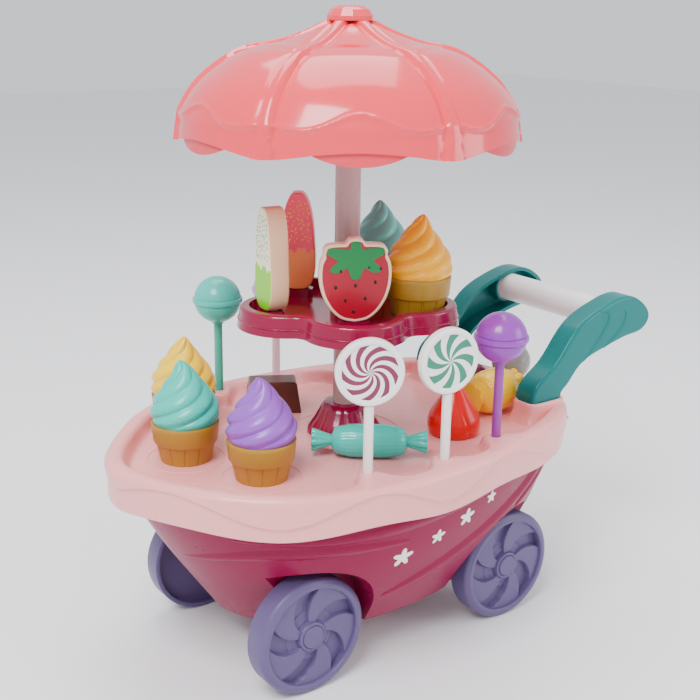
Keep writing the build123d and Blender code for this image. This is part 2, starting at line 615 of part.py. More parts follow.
def swirl(spot, floor):
    """Soft-serve swirl with a spigot that sits in the cup's mouth."""
    seat = floor - CUP_RECESS_DEPTH + SEAT_GAP + CUP_HEIGHT + SEAT_GAP
    spigot = CUP_MOUTH_RADIUS - CUP_WALL - SPIGOT_CLEARANCE
    shape = [(0.94, 0.0), (1.0, 0.17), (0.95, 0.34), (0.74, 0.55), (0.42, 0.77), (0.16, 0.93)]
    points = [(SWIRL_RADIUS * out, seat + SWIRL_HEIGHT * up) for out, up in shape]
    tip = (0, seat + SWIRL_HEIGHT)
    curve = Spline(*points, tip)
    foot = Polyline(tip, (0, seat - SPIGOT_HEIGHT), (spigot, seat - SPIGOT_HEIGHT), (spigot, seat), points[0])
    section = make_face(Plane.XZ * (Curve() + [curve, foot]))
    return Pos(*spot, 0) * revolve(section, Axis.Z)


def lollipop_stick(spot, head_foot):
    """Stick that stands in a boss of the tray's rim, with a thinner peg inside its head."""
    shaft = post(*spot, STICK_RADIUS, RIM_Z - STICK_HOLE_DEPTH + SEAT_GAP, head_foot)
    return shaft.fuse(post(*spot, PEG_RADIUS, head_foot - 1.0, head_foot + PEG_DEPTH)).clean()


def ball_head(spot):
    """Round lollipop head with a raised seam ring, bored for its stick."""
    z = RIM_Z + LOLLIPOP_RISE
    head = Pos(*spot, z) * Sphere(BALL_RADIUS)
    ring = turned([(BALL_RADIUS - 2.0, z - 1.6), (BALL_RADIUS + 1.0, z - 1.0), (BALL_RADIUS + 1.0, z + 1.0),
                   (BALL_RADIUS - 2.0, z + 1.6)], *spot)
    foot = post(*spot, STICK_RADIUS + 1.2, z - BALL_RADIUS - 0.4, z - BALL_RADIUS + 2.0)
    peg_hole = post(*spot, PEG_RADIUS, z - 2 * BALL_RADIUS, z - BALL_RADIUS - 0.4 + PEG_DEPTH)
    return head.fuse(ring, foot).clean() - peg_hole


def disc_head(spot, turn):
    """Round flat lollipop head that looks towards `turn`, bored for its stick."""
    z = RIM_Z + LOLLIPOP_RISE - 3.5
    disc = Cylinder(DISC_RADIUS, DISC_THICKNESS)
    disc = fillet(disc.edges(), 1.6)
    head = Pos(*spot, z) * Rot(0, 0, turn) * Rot(0, 90, 0) * disc
    foot = post(*spot, DISC_THICKNESS / 2, z - DISC_RADIUS - 0.4, z - DISC_RADIUS + 2.0)
    return head.fuse(foot).clean() - post(*spot, PEG_RADIUS, z - 2 * DISC_RADIUS, z - DISC_RADIUS - 0.4 + PEG_DEPTH)


def popsicle(spot, turn):
    """Ice bar with rounded shoulders and softened feet."""
    low = UPPER_FLOOR_Z + HOLDER_RISE + SEAT_GAP
    outline = Pos(0, POPSICLE_HEIGHT / 2) * Rectangle(POPSICLE_WIDTH, POPSICLE_HEIGHT)
    outline = fillet(outline.vertices().group_by(Axis.Y)[-1], POPSICLE_WIDTH / 2 - 0.5)
    outline = fillet(outline.vertices().group_by(Axis.Y)[0], 6.0)
    bar = extrude(outline, POPSICLE_THICKNESS / 2, both=True)
    return upright(spot, turn, low) * fillet(bar.edges().group_by(Axis.Z)[-1], 1.5)


def popsicle_stick(spot, turn):
    """Flat tang under an ice bar, in its slot."""
    low = UPPER_FLOOR_Z + SEAT_GAP
    high = UPPER_FLOOR_Z + HOLDER_RISE + SEAT_GAP
    return standing_block(spot, turn, POPSICLE_TANG_WIDTH, POPSICLE_TANG_THICKNESS, low, high)


def strawberry():
    """Flat strawberry biscuit that stands on its rounded edge."""
    low = UPPER_FLOOR_Z + 2.0 + SEAT_GAP
    half, height = STRAWBERRY_WIDTH / 2, STRAWBERRY_HEIGHT
    outline = Spline((-5, 0), (-0.72 * half, 0.22 * height), (-half, 0.62 * height), (-0.66 * half, 0.93 * height),
                     (0, height), (0.66 * half, 0.93 * height), (half, 0.62 * height), (0.72 * half, 0.22 * height),
                     (5, 0))
    face = make_face(Curve() + [outline, Line(outline @ 1, outline @ 0)])
    biscuit = extrude(face, STRAWBERRY_THICKNESS / 2, both=True)
    biscuit = fillet([edge for edge in biscuit.edges() if edge.center().Y > 1.0], 1.5)
    return upright(STRAWBERRY_SPOT, STRAWBERRY_TURN, low) * biscuit


def wrapped_candy(spot, turn, radius, length, tail):
    """Twist-wrapped sweet lying along `turn`: a plump body and a fan at each end."""
    half = length / 2
    body = [(0, -half), (0.35 * radius, -half), (0.86 * radius, -0.72 * half), (radius, -0.35 * half),
            (radius, 0.35 * half), (0.86 * radius, 0.72 * half), (0.35 * radius, half), (0, half)]
    fan = [(0, half - 1.0), (0.3 * radius, half - 1.0), (0.3 * radius, half + 1.0), (0.72 * radius, half + tail),
           (0, half + tail)]
    pieces = [turned(body), turned(fan), mirror(turned(fan), about=Plane.XY)]
    x, y = spot
    return Pos(x, y, DECK_Z + radius + SEAT_GAP) * Rot(0, 0, turn) * Rot(0, 90, 0) * joined(pieces)


def drop_candy(spot):
    """Teardrop sweet with a broad foot."""
    low = DECK_Z + SEAT_GAP
    radius, height = 18.0, 39.0
    curve = Spline((radius * 0.86, low), (radius, low + 0.2 * height), (0.66 * radius, low + 0.55 * height),
                   (0.2 * radius, low + 0.88 * height), (0, low + height))
    foot = Polyline((0, low + height), (0, low), (radius * 0.86, low))
    return Pos(*spot, 0) * revolve(make_face(Plane.XZ * (Curve() + [curve, foot])), Axis.Z)


def chocolate(spot, turn):
    """Chocolate block with sloping sides."""
    low = DECK_Z + SEAT_GAP
    block = extrude(Pos(0, 0, low) * Rectangle(38, 25), 21, taper=8)
    block = fillet(block.faces().sort_by(Axis.Z)[-1].edges(), 2.5)
    x, y = spot
    return Pos(x, y, 0) * Rot(0, 0, turn) * block


TEAL_CANDY_SPOT = (POLE_X - 14.4, -45.2)
YELLOW_CANDY_SPOT = (COLLAR_X - 18.0, -27.0)
PLUM_CANDY_SPOT = (COLLAR_X + 5.0, 19.0)
DROP_SPOT = (POLE_X + 57.0, -43.0)
CHOCOLATE_SPOT = (POLE_X - 15.0, 64.0)


def parts():
    """Every sub-part by name."""
    left, right = -1, 1
    made = {"hull": hull(), "main_tray": main_tray(), "axle_bushes": axle_bushes()}
    for end, x in (("front", FRONT_AXLE_X), ("rear", REAR_AXLE_X)):
        made[end + "_axle"] = axle(x)
        for name, side in (("left", left), ("right", right)):
            made[f"{end}_{name}_wheel"] = wheel(x, side)
            made[f"{end}_{name}_hub_cap"] = hub_cap(x, side)
    made["left_handle_arm"] = handle_arm(left)
    made["right_handle_arm"] = handle_arm(right)
    made["handle_bar"] = handle_bar()
    made["pole_base"] = pole_base()
    made["lower_pole"] = lower_pole()
    made["upper_pole"] = upper_pole()
    made["upper_tray"] = upper_tray()
    made["canopy"] = canopy()
    made["canopy_liner"] = canopy_liner()
    made["canopy_socket"] = canopy_socket()
    made["canopy_finial"] = canopy_finial()
    cups = (("teal", tray_spot(TEAL_CUP_SPOT), DECK_Z), ("purple", tray_spot(PURPLE_CUP_SPOT), DECK_Z),
            ("yellow", tray_spot(YELLOW_CUP_SPOT), DECK_Z), ("orange", ORANGE_CUP_SPOT, UPPER_FLOOR_Z),
            ("blue", BLUE_CUP_SPOT, UPPER_FLOOR_Z))
    for name, spot, floor in cups:
        made[f"{name}_ice_cream_cup"] = cup(spot, floor)
        made[f"{name}_ice_cream_swirl"] = swirl(spot, floor)
    red, green, purple, teal, pink = [tray_spot(spot) for spot in BOSS_SPOTS[:5]]
    ball_foot = RIM_Z + LOLLIPOP_RISE - BALL_RADIUS - 0.4
    for name, spot in (("purple", purple), ("teal", teal), ("pink", pink)):
        made[f"{name}_ball_lollipop_head"] = ball_head(spot)
        made[f"{name}_ball_lollipop_stick"] = lollipop_stick(spot, ball_foot)
    disc_foot = RIM_Z + LOLLIPOP_RISE - 3.5 - DISC_RADIUS - 0.4
    for name, spot, turn in (("red", red, -118.0), ("green", green, -97.0)):
        made[f"{name}_disc_lollipop_head"] = disc_head(spot, turn)
        made[f"{name}_disc_lollipop_stick"] = lollipop_stick(spot, disc_foot)
    for name, spot, turn in (("green", GREEN_POPSICLE_SPOT, GREEN_POPSICLE_TURN),
                             ("pink", PINK_POPSICLE_SPOT, PINK_POPSICLE_TURN)):
        made[f"{name}_popsicle"] = popsicle(spot, turn)
        made[f"{name}_popsicle_stick"] = popsicle_stick(spot, turn)
    made["strawberry_biscuit"] = strawberry()
    made["teal_wrapped_candy"] = wrapped_candy(TEAL_CANDY_SPOT, -38.0, 10.5, 47.0, 12.5)
    made["yellow_wrapped_candy"] = wrapped_candy(YELLOW_CANDY_SPOT, 8.0, 15.0, 32.0, 8.0)
    made["plum_wrapped_candy"] = wrapped_candy(PLUM_CANDY_SPOT, 80.0, 9.5, 22.0, 6.0)
    made["red_drop_candy"] = drop_candy(DROP_SPOT)
    made["chocolate_block"] = chocolate(CHOCOLATE_SPOT, -30.0)
    made["grey_ball_candy"] = Pos(*BALL_SPOT, BALL_Z) * Sphere(LOOSE_BALL_RADIUS)
    return made


def main():
    """Write one STEP file per sub-part."""
    os.makedirs("parts", exist_ok=True)
    for name, solid in parts().items():
        solid.label = name
        export_step(solid, os.path.join("parts", name + ".step"))
        print(f"{name}: {solid.volume / 1000:.2f} cm3")


if __name__ == "__main__":
    main()
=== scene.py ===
"""Looks of a toy sweet cart, built round its fixed frame.

Shapes are worked out in millimetres in the frame's own axes and turned into metres when a mesh is made.
"""
import json
import logging
import math
from collections.abc import Callable, Sequence
from dataclasses import dataclass
from enum import Enum
from typing import Any

import bmesh
import bpy
import numpy as np
from mathutils import Matrix, Vector
from mathutils.bvhtree import BVHTree

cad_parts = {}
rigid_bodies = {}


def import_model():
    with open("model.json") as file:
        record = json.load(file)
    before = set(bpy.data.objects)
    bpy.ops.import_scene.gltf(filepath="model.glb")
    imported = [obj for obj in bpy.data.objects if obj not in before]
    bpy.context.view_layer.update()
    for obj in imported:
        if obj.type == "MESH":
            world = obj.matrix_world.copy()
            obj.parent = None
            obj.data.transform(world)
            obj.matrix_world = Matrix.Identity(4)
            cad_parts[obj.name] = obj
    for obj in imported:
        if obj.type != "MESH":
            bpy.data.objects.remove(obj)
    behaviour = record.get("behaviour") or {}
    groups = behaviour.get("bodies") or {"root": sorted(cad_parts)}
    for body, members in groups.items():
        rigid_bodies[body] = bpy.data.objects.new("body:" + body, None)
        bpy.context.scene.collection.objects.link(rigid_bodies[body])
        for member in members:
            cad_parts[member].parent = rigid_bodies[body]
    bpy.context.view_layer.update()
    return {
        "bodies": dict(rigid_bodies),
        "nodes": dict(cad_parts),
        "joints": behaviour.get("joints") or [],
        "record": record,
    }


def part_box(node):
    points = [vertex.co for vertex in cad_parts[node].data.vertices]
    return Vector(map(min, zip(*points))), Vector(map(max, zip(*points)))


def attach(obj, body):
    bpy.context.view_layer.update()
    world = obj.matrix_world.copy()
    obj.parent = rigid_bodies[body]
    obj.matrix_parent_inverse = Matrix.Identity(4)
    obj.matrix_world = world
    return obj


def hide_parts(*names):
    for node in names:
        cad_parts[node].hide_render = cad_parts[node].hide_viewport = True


Colour = tuple[float, float, float, float]
Point = Sequence[float]
Line = Sequence[Point] | np.ndarray
Shape = tuple[np.ndarray, list[tuple[int, ...]]]
Vary = Callable[[np.ndarray, float, float], np.ndarray]

log = logging.getLogger("sweet_cart")
MM = 0.001
FULL = 2 * math.pi
ON_AXIS = 1e-4
FAR = 300
LONGEST_JUMP = 6


def linear(red: int, green: int, blue: int) -> Colour:
    """Colour from its display values.

    Args:
        red, green, blue: 0 to 255 each.

    Returns:
        A linear (r, g, b, 1) tuple.
    """
    shares = [value / 255 for value in (red, green, blue)]
    return tuple([c / 12.92 if c <= 0.04045 else ((c + 0.055) / 1.055) ** 2.4 for c in shares] + [1.0])


@dataclass(frozen=True)
class Finish:
    """A moulded or printed surface; a printed one has further colours, and a wound one has blades."""
    name: str
    colour: Colour
    roughness: float = 0.28
    coat: float = 0.25
    grain: float = 0.05
    grain_size: float = 0.8
    metallic: float = 0.0
    second: Colour | None = None
    third: Colour | None = None
    blades: int = 8
    twist: float = 1.0
    shine: float = 0.36


class Print(Enum):
    """How the colours of a printed sweet are laid out."""
    PLAIN = "plain"
    PINWHEEL = "pinwheel"
    DIPPED = "dipped"
    BISCUIT = "biscuit"


class Facing(Enum):
    """How repeated pieces are turned where they are placed."""
    OUTWARD = "outward"
    ROUND_AXIS = "round_axis"


HULL = Finish("hull", linear(134, 2, 60), 0.3, 0.05, shine=0.2)
TRAY = Finish("tray", linear(247, 163, 163), 0.30, 0.3)
RASPBERRY = Finish("raspberry", linear(136, 4, 56), 0.18, 0.6)
CORAL = Finish("coral", linear(240, 62, 76), 0.16, 0.7)
LINER = Finish("liner", linear(224, 66, 78), 0.22, 0.4)
MAUVE = Finish("mauve", linear(91, 78, 120), 0.42, 0.08)
TEAL = Finish("arm teal", linear(0, 110, 108), 0.30, 0.1, shine=0.24)
WHITE = Finish("bar white", linear(247, 247, 247), 0.32, 0.2)
PALE = Finish("pole pale", linear(186, 150, 150), 0.28, 0.3)
STEEL = Finish("axle steel", linear(168, 168, 172), 0.3, 0.0, metallic=1.0)
BUSH = Finish("bush", linear(222, 220, 216), 0.5, 0.0)
WAFER = Finish("wafer", linear(166, 127, 39), 0.42, 0.1, 0.12, 1.6)
TANG = Finish("tang", linear(226, 196, 150), 0.45, 0.05)
STICK = Finish("stick white", linear(238, 234, 230), 0.4, 0.1)
ICES = {"teal": Finish("ice teal", linear(41, 193, 174), 0.3, 0.25),
        "purple": Finish("ice purple", linear(146, 78, 192), 0.3, 0.25),
        "yellow": Finish("ice yellow", linear(250, 204, 20), 0.3, 0.25),
        "orange": Finish("ice orange", linear(250, 182, 0), 0.3, 0.25),
        "blue": Finish("ice blue", linear(94, 192, 184), 0.3, 0.25)}
BALLS = {"purple": Finish("ball purple", linear(140, 52, 170), 0.26, 0.35),
         "teal": Finish("ball teal", linear(62, 188, 172), 0.26, 0.35),
         "pink": Finish("ball lilac", linear(200, 166, 210), 0.26, 0.35)}
BALL_STICKS = {"purple": Finish("stick purple", linear(141, 56, 149), 0.35),
               "teal": Finish("stick teal", linear(60, 176, 150), 0.35),
               "pink": Finish("stick pink", linear(240, 206, 214), 0.35)}
DISCS = {"red": Finish("disc red", linear(122, 40, 72), 0.3, 0.3, second=linear(246, 242, 240), blades=9,
                       twist=1.9),
         "green": Finish("disc green", linear(40, 128, 104), 0.3, 0.3, second=linear(246, 244, 240), blades=8,
                         twist=0.9)}
LOLLIES = {"green": Finish("dipped green", linear(132, 212, 5), 0.34, 0.2, second=linear(240, 240, 206),
                           third=linear(232, 190, 150)),
           "pink": Finish("dipped pink", linear(252, 146, 92), 0.34, 0.2, second=linear(250, 76, 112),
                          third=linear(236, 84, 104))}
BERRY = Finish("strawberry", linear(168, 4, 40), 0.3, 0.3, second=linear(248, 206, 176))
LEAF = Finish("leaf", linear(0, 128, 62), 0.34, 0.2)
SEED = Finish("seed", linear(40, 16, 14), 0.4, 0.1)
SPRINKLE = Finish("sprinkle", linear(250, 196, 70), 0.35, 0.2)
FLECK = Finish("fleck", linear(120, 150, 130), 0.4, 0.1)
WRAPS = {"teal": Finish("wrap teal", linear(35, 193, 175), 0.24, 0.4),
         "yellow": Finish("wrap yellow", linear(250, 204, 8), 0.24, 0.4),
         "plum": Finish("wrap plum", linear(120, 22, 70), 0.24, 0.4)}
DROP = Finish("drop red", linear(206, 0, 6), 0.2, 0.3, shine=0.28)
CHOCOLATE = Finish("chocolate", linear(84, 38, 26), 0.34, 0.2)
GREY = Finish("grey ball", linear(150, 152, 146), 0.28, 0.3)
# painted shade: the colour of the dark disc laid over each stick hole, standing in for the shade down in the
# hole
HOLE_SHADE_PAINT = Finish("painted_shade_disc", linear(150, 84, 92), 0.6, 0.0)
FLOOR = Finish("floor", linear(244, 244, 246), 0.7, 0.0, 0.0)
MOTIF = Finish("motif white", linear(250, 244, 246), 0.35, 0.2)


class Nodes:
    """A node tree that is built one node at a time."""

    def __init__(self, tree: bpy.types.NodeTree) -> None:
        self.tree = tree

    def add(self, kind: str, inputs: dict | None = None, **settings: Any) -> bpy.types.Node:
        """Adds a node.

        Args:
            kind: its type.
            inputs: values or sockets by input name or number.
            settings: its properties.

        Returns:
            The node.
        """
        node = self.tree.nodes.new(kind)
        for name, value in settings.items():
            setattr(node, name, value)
        for key, value in (inputs or {}).items():
            self.join(value, node.inputs[key])
        return node

    def join(self, value: Any, socket: bpy.types.NodeSocket) -> None:
        """Links a socket, or sets a plain value."""
        if isinstance(value, bpy.types.NodeSocket):
            self.tree.links.new(value, socket)
        else:
            socket.default_value = value

    def math(self, operation: str, first: Any, second: Any = 0.0, third: Any = 0.0) -> bpy.types.NodeSocket:
        """The output of a Math node."""
        return self.add("ShaderNodeMath", {0: first, 1: second, 2: third}, operation=operation).outputs[0]

    def mix(self, factor: Any, first: Any, second: Any) -> bpy.types.NodeSocket:
        """The output of a colour mix."""
        node = self.add("ShaderNodeMix", data_type="RGBA")
        for index, value in ((0, factor), (6, first), (7, second)):
            self.join(value, node.inputs[index])
        return node.outputs[2]


class Paintbox:
    """Makes each finish's material once."""

    COAT_SHARE = 0.6
    COAT_ROUGHNESS = 0.08
    PATCH_SCALE = 34.0
    GRAIN_SCALE = 900.0
    GRAIN_DEPTH = 0.0004
    RIM_SHARE = 0.815
    EDGE_SHARE = 0.93
    DIP_LINE = 27.0

    def __init__(self) -> None:
        self.made: dict[tuple[str, Print], bpy.types.Material] = {}

    def material(self, finish: Finish, layout: Print = Print.PLAIN) -> bpy.types.Material:
        """The material of a finish, with its colours laid out as its layout says."""
        key = (finish.name, layout)
        if key not in self.made:
            self.made[key] = self._make(finish, layout)
        return self.made[key]

    def _make(self, finish: Finish, layout: Print) -> bpy.types.Material:
        """A new material: colour by layout, faintly uneven roughness and a fine moulded grain."""
        material = bpy.data.materials.new(finish.name)
        material.use_nodes = True
        nodes = Nodes(material.node_tree)
        shader = material.node_tree.nodes["Principled BSDF"]
        place = nodes.add("ShaderNodeTexCoord").outputs["Object"]
        colour = {Print.PLAIN: lambda: finish.colour,
                  Print.PINWHEEL: lambda: self._pinwheel(nodes, finish),
                  Print.DIPPED: lambda: self._dipped(nodes, finish),
                  Print.BISCUIT: lambda: self._biscuit(nodes, finish)}[layout]()
        nodes.join(colour, shader.inputs["Base Color"])
        shader.inputs["Metallic"].default_value = finish.metallic
        shader.inputs["Specular IOR Level"].default_value = finish.shine
        shader.inputs["Coat Weight"].default_value = finish.coat * self.COAT_SHARE
        shader.inputs["Coat Roughness"].default_value = self.COAT_ROUGHNESS
        patches = nodes.add("ShaderNodeTexNoise", {"Vector": place, "Scale": self.PATCH_SCALE,
                                                   "Detail": 3.0}).outputs[0]
        spread = nodes.add("ShaderNodeMapRange", {"Value": patches, "From Min": 0.3, "From Max": 0.7,
                                                  "To Min": finish.roughness * 0.88,
                                                  "To Max": finish.roughness * 1.12})
        nodes.join(spread.outputs[0], shader.inputs["Roughness"])
        if finish.grain > 0:
            scale = self.GRAIN_SCALE / finish.grain_size
            fine = nodes.add("ShaderNodeTexNoise", {"Vector": place, "Scale": scale,
                                                    "Detail": 2.0}).outputs[0]
            bump = nodes.add("ShaderNodeBump", {"Height": fine, "Strength": finish.grain,
                                                "Distance": self.GRAIN_DEPTH})
            nodes.join(bump.outputs[0], shader.inputs["Normal"])
        return material

    def _flat(self, nodes: Nodes) -> tuple[bpy.types.NodeSocket, ...]:
        """Across, up and share-from-the-middle of a flat printed piece."""
        flat = nodes.add("ShaderNodeAttribute", attribute_name="flat").outputs["Vector"]
        parts = nodes.add("ShaderNodeSeparateXYZ", {0: flat})
        return parts.outputs[0], parts.outputs[1], parts.outputs[2]

    def _pinwheel(self, nodes: Nodes, finish: Finish) -> bpy.types.NodeSocket:
        """Wound blades inside a plain rim."""
        across, up, share = self._flat(nodes)
        turn = nodes.math("ARCTAN2", up, across)
        wound = nodes.math("MULTIPLY_ADD", share, finish.twist, turn)
        wave = nodes.math("SINE", nodes.math("MULTIPLY", wound, float(finish.blades)))
        blades = nodes.math("GREATER_THAN", wave, 0.05)
        rim = nodes.math("GREATER_THAN", share, self.RIM_SHARE)
        inner = nodes.mix(blades, finish.colour, finish.second)
        return nodes.mix(rim, inner, finish.second)

    def _dipped(self, nodes: Nodes, finish: Finish) -> bpy.types.NodeSocket:
        """A face dipped down to a dripping line, with the sides in a third colour."""
        across, up, share = self._flat(nodes)
        drips = nodes.math("SINE", nodes.math("MULTIPLY", across, 0.62))
        more = nodes.math("SINE", nodes.math("MULTIPLY_ADD", across, 1.45, 1.1))
        line = nodes.math("MULTIPLY_ADD", drips, 1.5, self.DIP_LINE)
        line = nodes.math("ADD", line, nodes.math("MULTIPLY", more, 0.9))
        face = nodes.mix(nodes.math("GREATER_THAN", up, line), finish.colour, finish.second)
        return nodes.mix(nodes.math("GREATER_THAN", share, 1.0), face, finish.third)

    def _biscuit(self, nodes: Nodes, finish: Finish) -> bpy.types.NodeSocket:
        """A printed face inside a baked edge."""
        share = self._flat(nodes)[2]
        baked = nodes.math("GREATER_THAN", share, self.EDGE_SHARE)
        return nodes.mix(baked, finish.colour, finish.second)


class Repeater:
    """A Geometry Nodes tree that sets copies of a piece on every vertex of a guide mesh."""

    SEED = 7

    def __init__(self, facing: Facing) -> None:
        tree = bpy.data.node_groups.new("copies " + facing.value, "GeometryNodeTree")
        face = tree.interface
        face.new_socket("Geometry", in_out="INPUT", socket_type="NodeSocketGeometry")
        self.ids = {}
        for name, kind in (("Piece", "Object"), ("Jitter", "Float"), ("Finish", "Material")):
            socket = face.new_socket(name, in_out="INPUT", socket_type="NodeSocket" + kind)
            self.ids[name] = socket.identifier
        face.new_socket("Geometry", in_out="OUTPUT", socket_type="NodeSocketGeometry")
        nodes = Nodes(tree)
        given = nodes.add("NodeGroupInput").outputs
        points = nodes.add("GeometryNodeMeshToPoints", {"Mesh": given["Geometry"]}).outputs[0]
        aim = nodes.add("GeometryNodeInputNamedAttribute", {"Name": "aim"},
                        data_type="FLOAT_VECTOR").outputs[0]
        axis = "Z" if facing is Facing.OUTWARD else "X"
        pivot = "AUTO" if facing is Facing.OUTWARD else "Z"
        aligned = nodes.add("FunctionNodeAlignRotationToVector", {"Vector": aim}, axis=axis, pivot_axis=pivot)
        piece = nodes.add("GeometryNodeObjectInfo", {"Object": given["Piece"]}).outputs["Geometry"]
        vary = nodes.add("FunctionNodeRandomValue", {"Seed": self.SEED}, data_type="FLOAT")
        vary.inputs[2].default_value = -1.0
        vary.inputs[3].default_value = 1.0
        change = nodes.math("MULTIPLY_ADD", vary.outputs[1], given["Jitter"], 1.0)
        copies = nodes.add("GeometryNodeInstanceOnPoints", {"Points": points, "Instance": piece,
                                                            "Rotation": aligned.outputs[0], "Scale": change})
        solid = nodes.add("GeometryNodeRealizeInstances", {0: copies.outputs[0]})
        painted = nodes.add("GeometryNodeSetMaterial", {"Geometry": solid.outputs[0],
                                                        "Material": given["Finish"]})
        nodes.add("NodeGroupOutput", {"Geometry": painted.outputs[0]})
        self.tree = tree

    def run(self, spots: Line, aims: Line, piece: Shape, material: bpy.types.Material,
            jitter: float = 0.0) -> Shape:
        """Copies a piece onto spots.

        Args:
            spots, aims: places and directions of the copies.
            piece: what is copied.
            material: for the copies.
            jitter: spread of their scale round 1.

        Returns:
            The shape of all the copies together.
        """
        guide = plain_mesh(np.asarray(spots, float), [])
        layer = guide.attributes.new("aim", "FLOAT_VECTOR", "POINT")
        layer.data.foreach_set("vector", np.asarray(aims, float).ravel())
        holder = bpy.data.objects.new("guide", guide)
        source = bpy.data.objects.new("piece", plain_mesh(*piece))
        for one in (holder, source):
            bpy.context.scene.collection.objects.link(one)
        change = holder.modifiers.new("copies", "NODES")
        change.node_group = self.tree
        for name, value in (("Piece", source), ("Jitter", jitter), ("Finish", material)):
            change[self.ids[name]] = value
        graph = bpy.context.evaluated_depsgraph_get()
        made = bpy.data.meshes.new_from_object(holder.evaluated_get(graph), depsgraph=graph)
        found = np.empty(len(made.vertices) * 3)
        made.vertices.foreach_get("co", found)
        faces = [tuple(face.vertices) for face in made.polygons]
        for one in (holder, source):
            bpy.data.objects.remove(one)
        return found.reshape(-1, 3), faces


def plain_mesh(points: Line, faces: list[tuple[int, ...]]) -> bpy.types.Mesh:
    """A mesh straight from points and faces."""
    mesh = bpy.data.meshes.new("shape")
    mesh.from_pydata([tuple(point) for point in points], [], faces)
    mesh.update()
    return mesh


def spread_angles(count: int) -> np.ndarray:
    """Even angles round a full turn."""
    return np.arange(count) * FULL / count


def hoop(angles: np.ndarray, reach: np.ndarray | float, level: np.ndarray | float,
         middle: Point = (0.0, 0.0)) -> np.ndarray:
    """Points round an upright axis.

    Args:
        angles: where the points lie.
        reach, level: their distance from the axis and their height, one for all or one each.
        middle: where the axis stands.

    Returns:
        The points, one a row.
    """
    return np.column_stack([middle[0] + reach * np.cos(angles), middle[1] + reach * np.sin(angles),
                            np.broadcast_to(level, angles.shape)])


def foot_of(low: np.ndarray, high: np.ndarray) -> np.ndarray:
    """The middle of a box's lower face."""
    return np.array(((low[0] + high[0]) / 2, (low[1] + high[1]) / 2, low[2]))


def skin(rings: list[np.ndarray], looped: bool = False) -> Shape:
    """Faces between rings of points; a ring of one point is a pole.

    Args:
        rings: arrays of points.
        looped: join the last ring to the first.

    Returns:
        The shape.
    """
    starts = np.cumsum([0] + [len(ring) for ring in rings])
    pairs = list(zip(range(len(rings) - 1), range(1, len(rings))))
    if looped:
        pairs.append((len(rings) - 1, 0))
    faces = []
    for low, high in pairs:
        a, b = starts[low], starts[high]
        count = max(len(rings[low]), len(rings[high]))
        for i in range(count):
            j = (i + 1) % count
            if len(rings[low]) == 1:
                faces.append((a, b + i, b + j))
            elif len(rings[high]) == 1:
                faces.append((a + j, a + i, b))
            else:
                faces.append((a + j, a + i, b + i, b + j))
    return np.vstack(rings), faces


def merged(shapes: list[Shape]) -> Shape:
    """One shape from several."""
    points, faces, start = [], [], 0
    for found, sides in shapes:
        points.append(found)
        faces += [tuple(index + start for index in side) for side in sides]
        start += len(found)
    return np.vstack(points), faces


def smooth_line(points: Line, count: int) -> np.ndarray:
    """A smooth line through points, as `count` points spaced evenly in their number."""
    points = np.asarray(points, float)
    places = np.linspace(0, len(points) - 1, count)
    made = []
    for place in places:
        index = min(int(place), len(points) - 2)
        share = place - index
        before, here = points[max(index - 1, 0)], points[index]
        there, after = points[index + 1], points[min(index + 2, len(points) - 1)]
        made.append(0.5 * (2 * here + (there - before) * share
                           + (2 * before - 5 * here + 4 * there - after) * share ** 2
                           + (3 * here - before - 3 * there + after) * share ** 3))
    return np.array(made)


def turned(profile: Line, segments: int, vary: Vary | None = None) -> Shape:
    """A shape turned about the upright axis.

    Args:
        profile: (radius, height) points.
        segments: how many points go round.
        vary: gives the radius at each angle from the angles, the radius and the height.

    Returns:
        The shape.
    """
    angles = spread_angles(segments)
    rings = []
    for radius, height in np.asarray(profile, float):
        if radius < ON_AXIS:
            rings.append(np.array([[0.0, 0.0, height]]))
        else:
            rings.append(hoop(angles, vary(angles, radius, height) if vary else radius, height))
    return skin(rings)


def placed(shape: Shape, at: Point, across: Point = (1, 0, 0), up: Point = (0, 1, 0),
           ahead: Point = (0, 0, 1)) -> Shape:
    """A shape moved to a place, with its own axes laid along three directions."""
    points, faces = shape
    return points @ np.array([across, up, ahead], float) + np.asarray(at, float), faces


def facing_axes(turn: float) -> tuple[Point, Point, Point]:
    """Axes of an upright flat piece whose face looks towards `turn` degrees: across, up, ahead."""
    angle = math.radians(turn)
    return (-math.sin(angle), math.cos(angle), 0), (0, 0, 1), (math.cos(angle), math.sin(angle), 0)


def plate(outline: Line, half: float, edge: float,
          shares: Point = (0.0, 0.35, 0.6, 0.78, 0.88, 0.94)) -> tuple[Shape, np.ndarray]:
    """A flat piece with a softly rounded edge, across its X and Y, thick along its Z.

    Args:
        outline: points of its edge, seen from a middle at the origin.
        half: half its thickness.
        edge: radius of its rounding.
        shares: where its rings lie, from the middle to the edge.

    Returns:
        The shape, and across, up and share for every vertex.
    """
    outline = np.asarray(outline, float)
    reach = np.hypot(*outline.T)[:, None]
    inner = outline * (1 - edge / reach)
    front, notes = [], []
    for share in shares:
        ring = inner * share if share else np.zeros((1, 2))
        front.append(np.column_stack([ring, np.full(len(ring), half)]))
        notes.append(np.column_stack([ring, np.full(len(ring), share * 0.96)]))
    for step in range(6):
        angle = step / 5 * math.pi / 2
        ring = inner + (outline - inner) * math.sin(angle)
        height = half - edge * (1 - math.cos(angle))
        front.append(np.column_stack([ring, np.full(len(ring), height)]))
        notes.append(np.column_stack([ring, np.full(len(ring), 0.97 + 0.09 * (step > 2))]))
    rings = front + [ring * (1, 1, -1) for ring in reversed(front)]
    return skin(rings), np.vstack(notes + list(reversed(notes)))


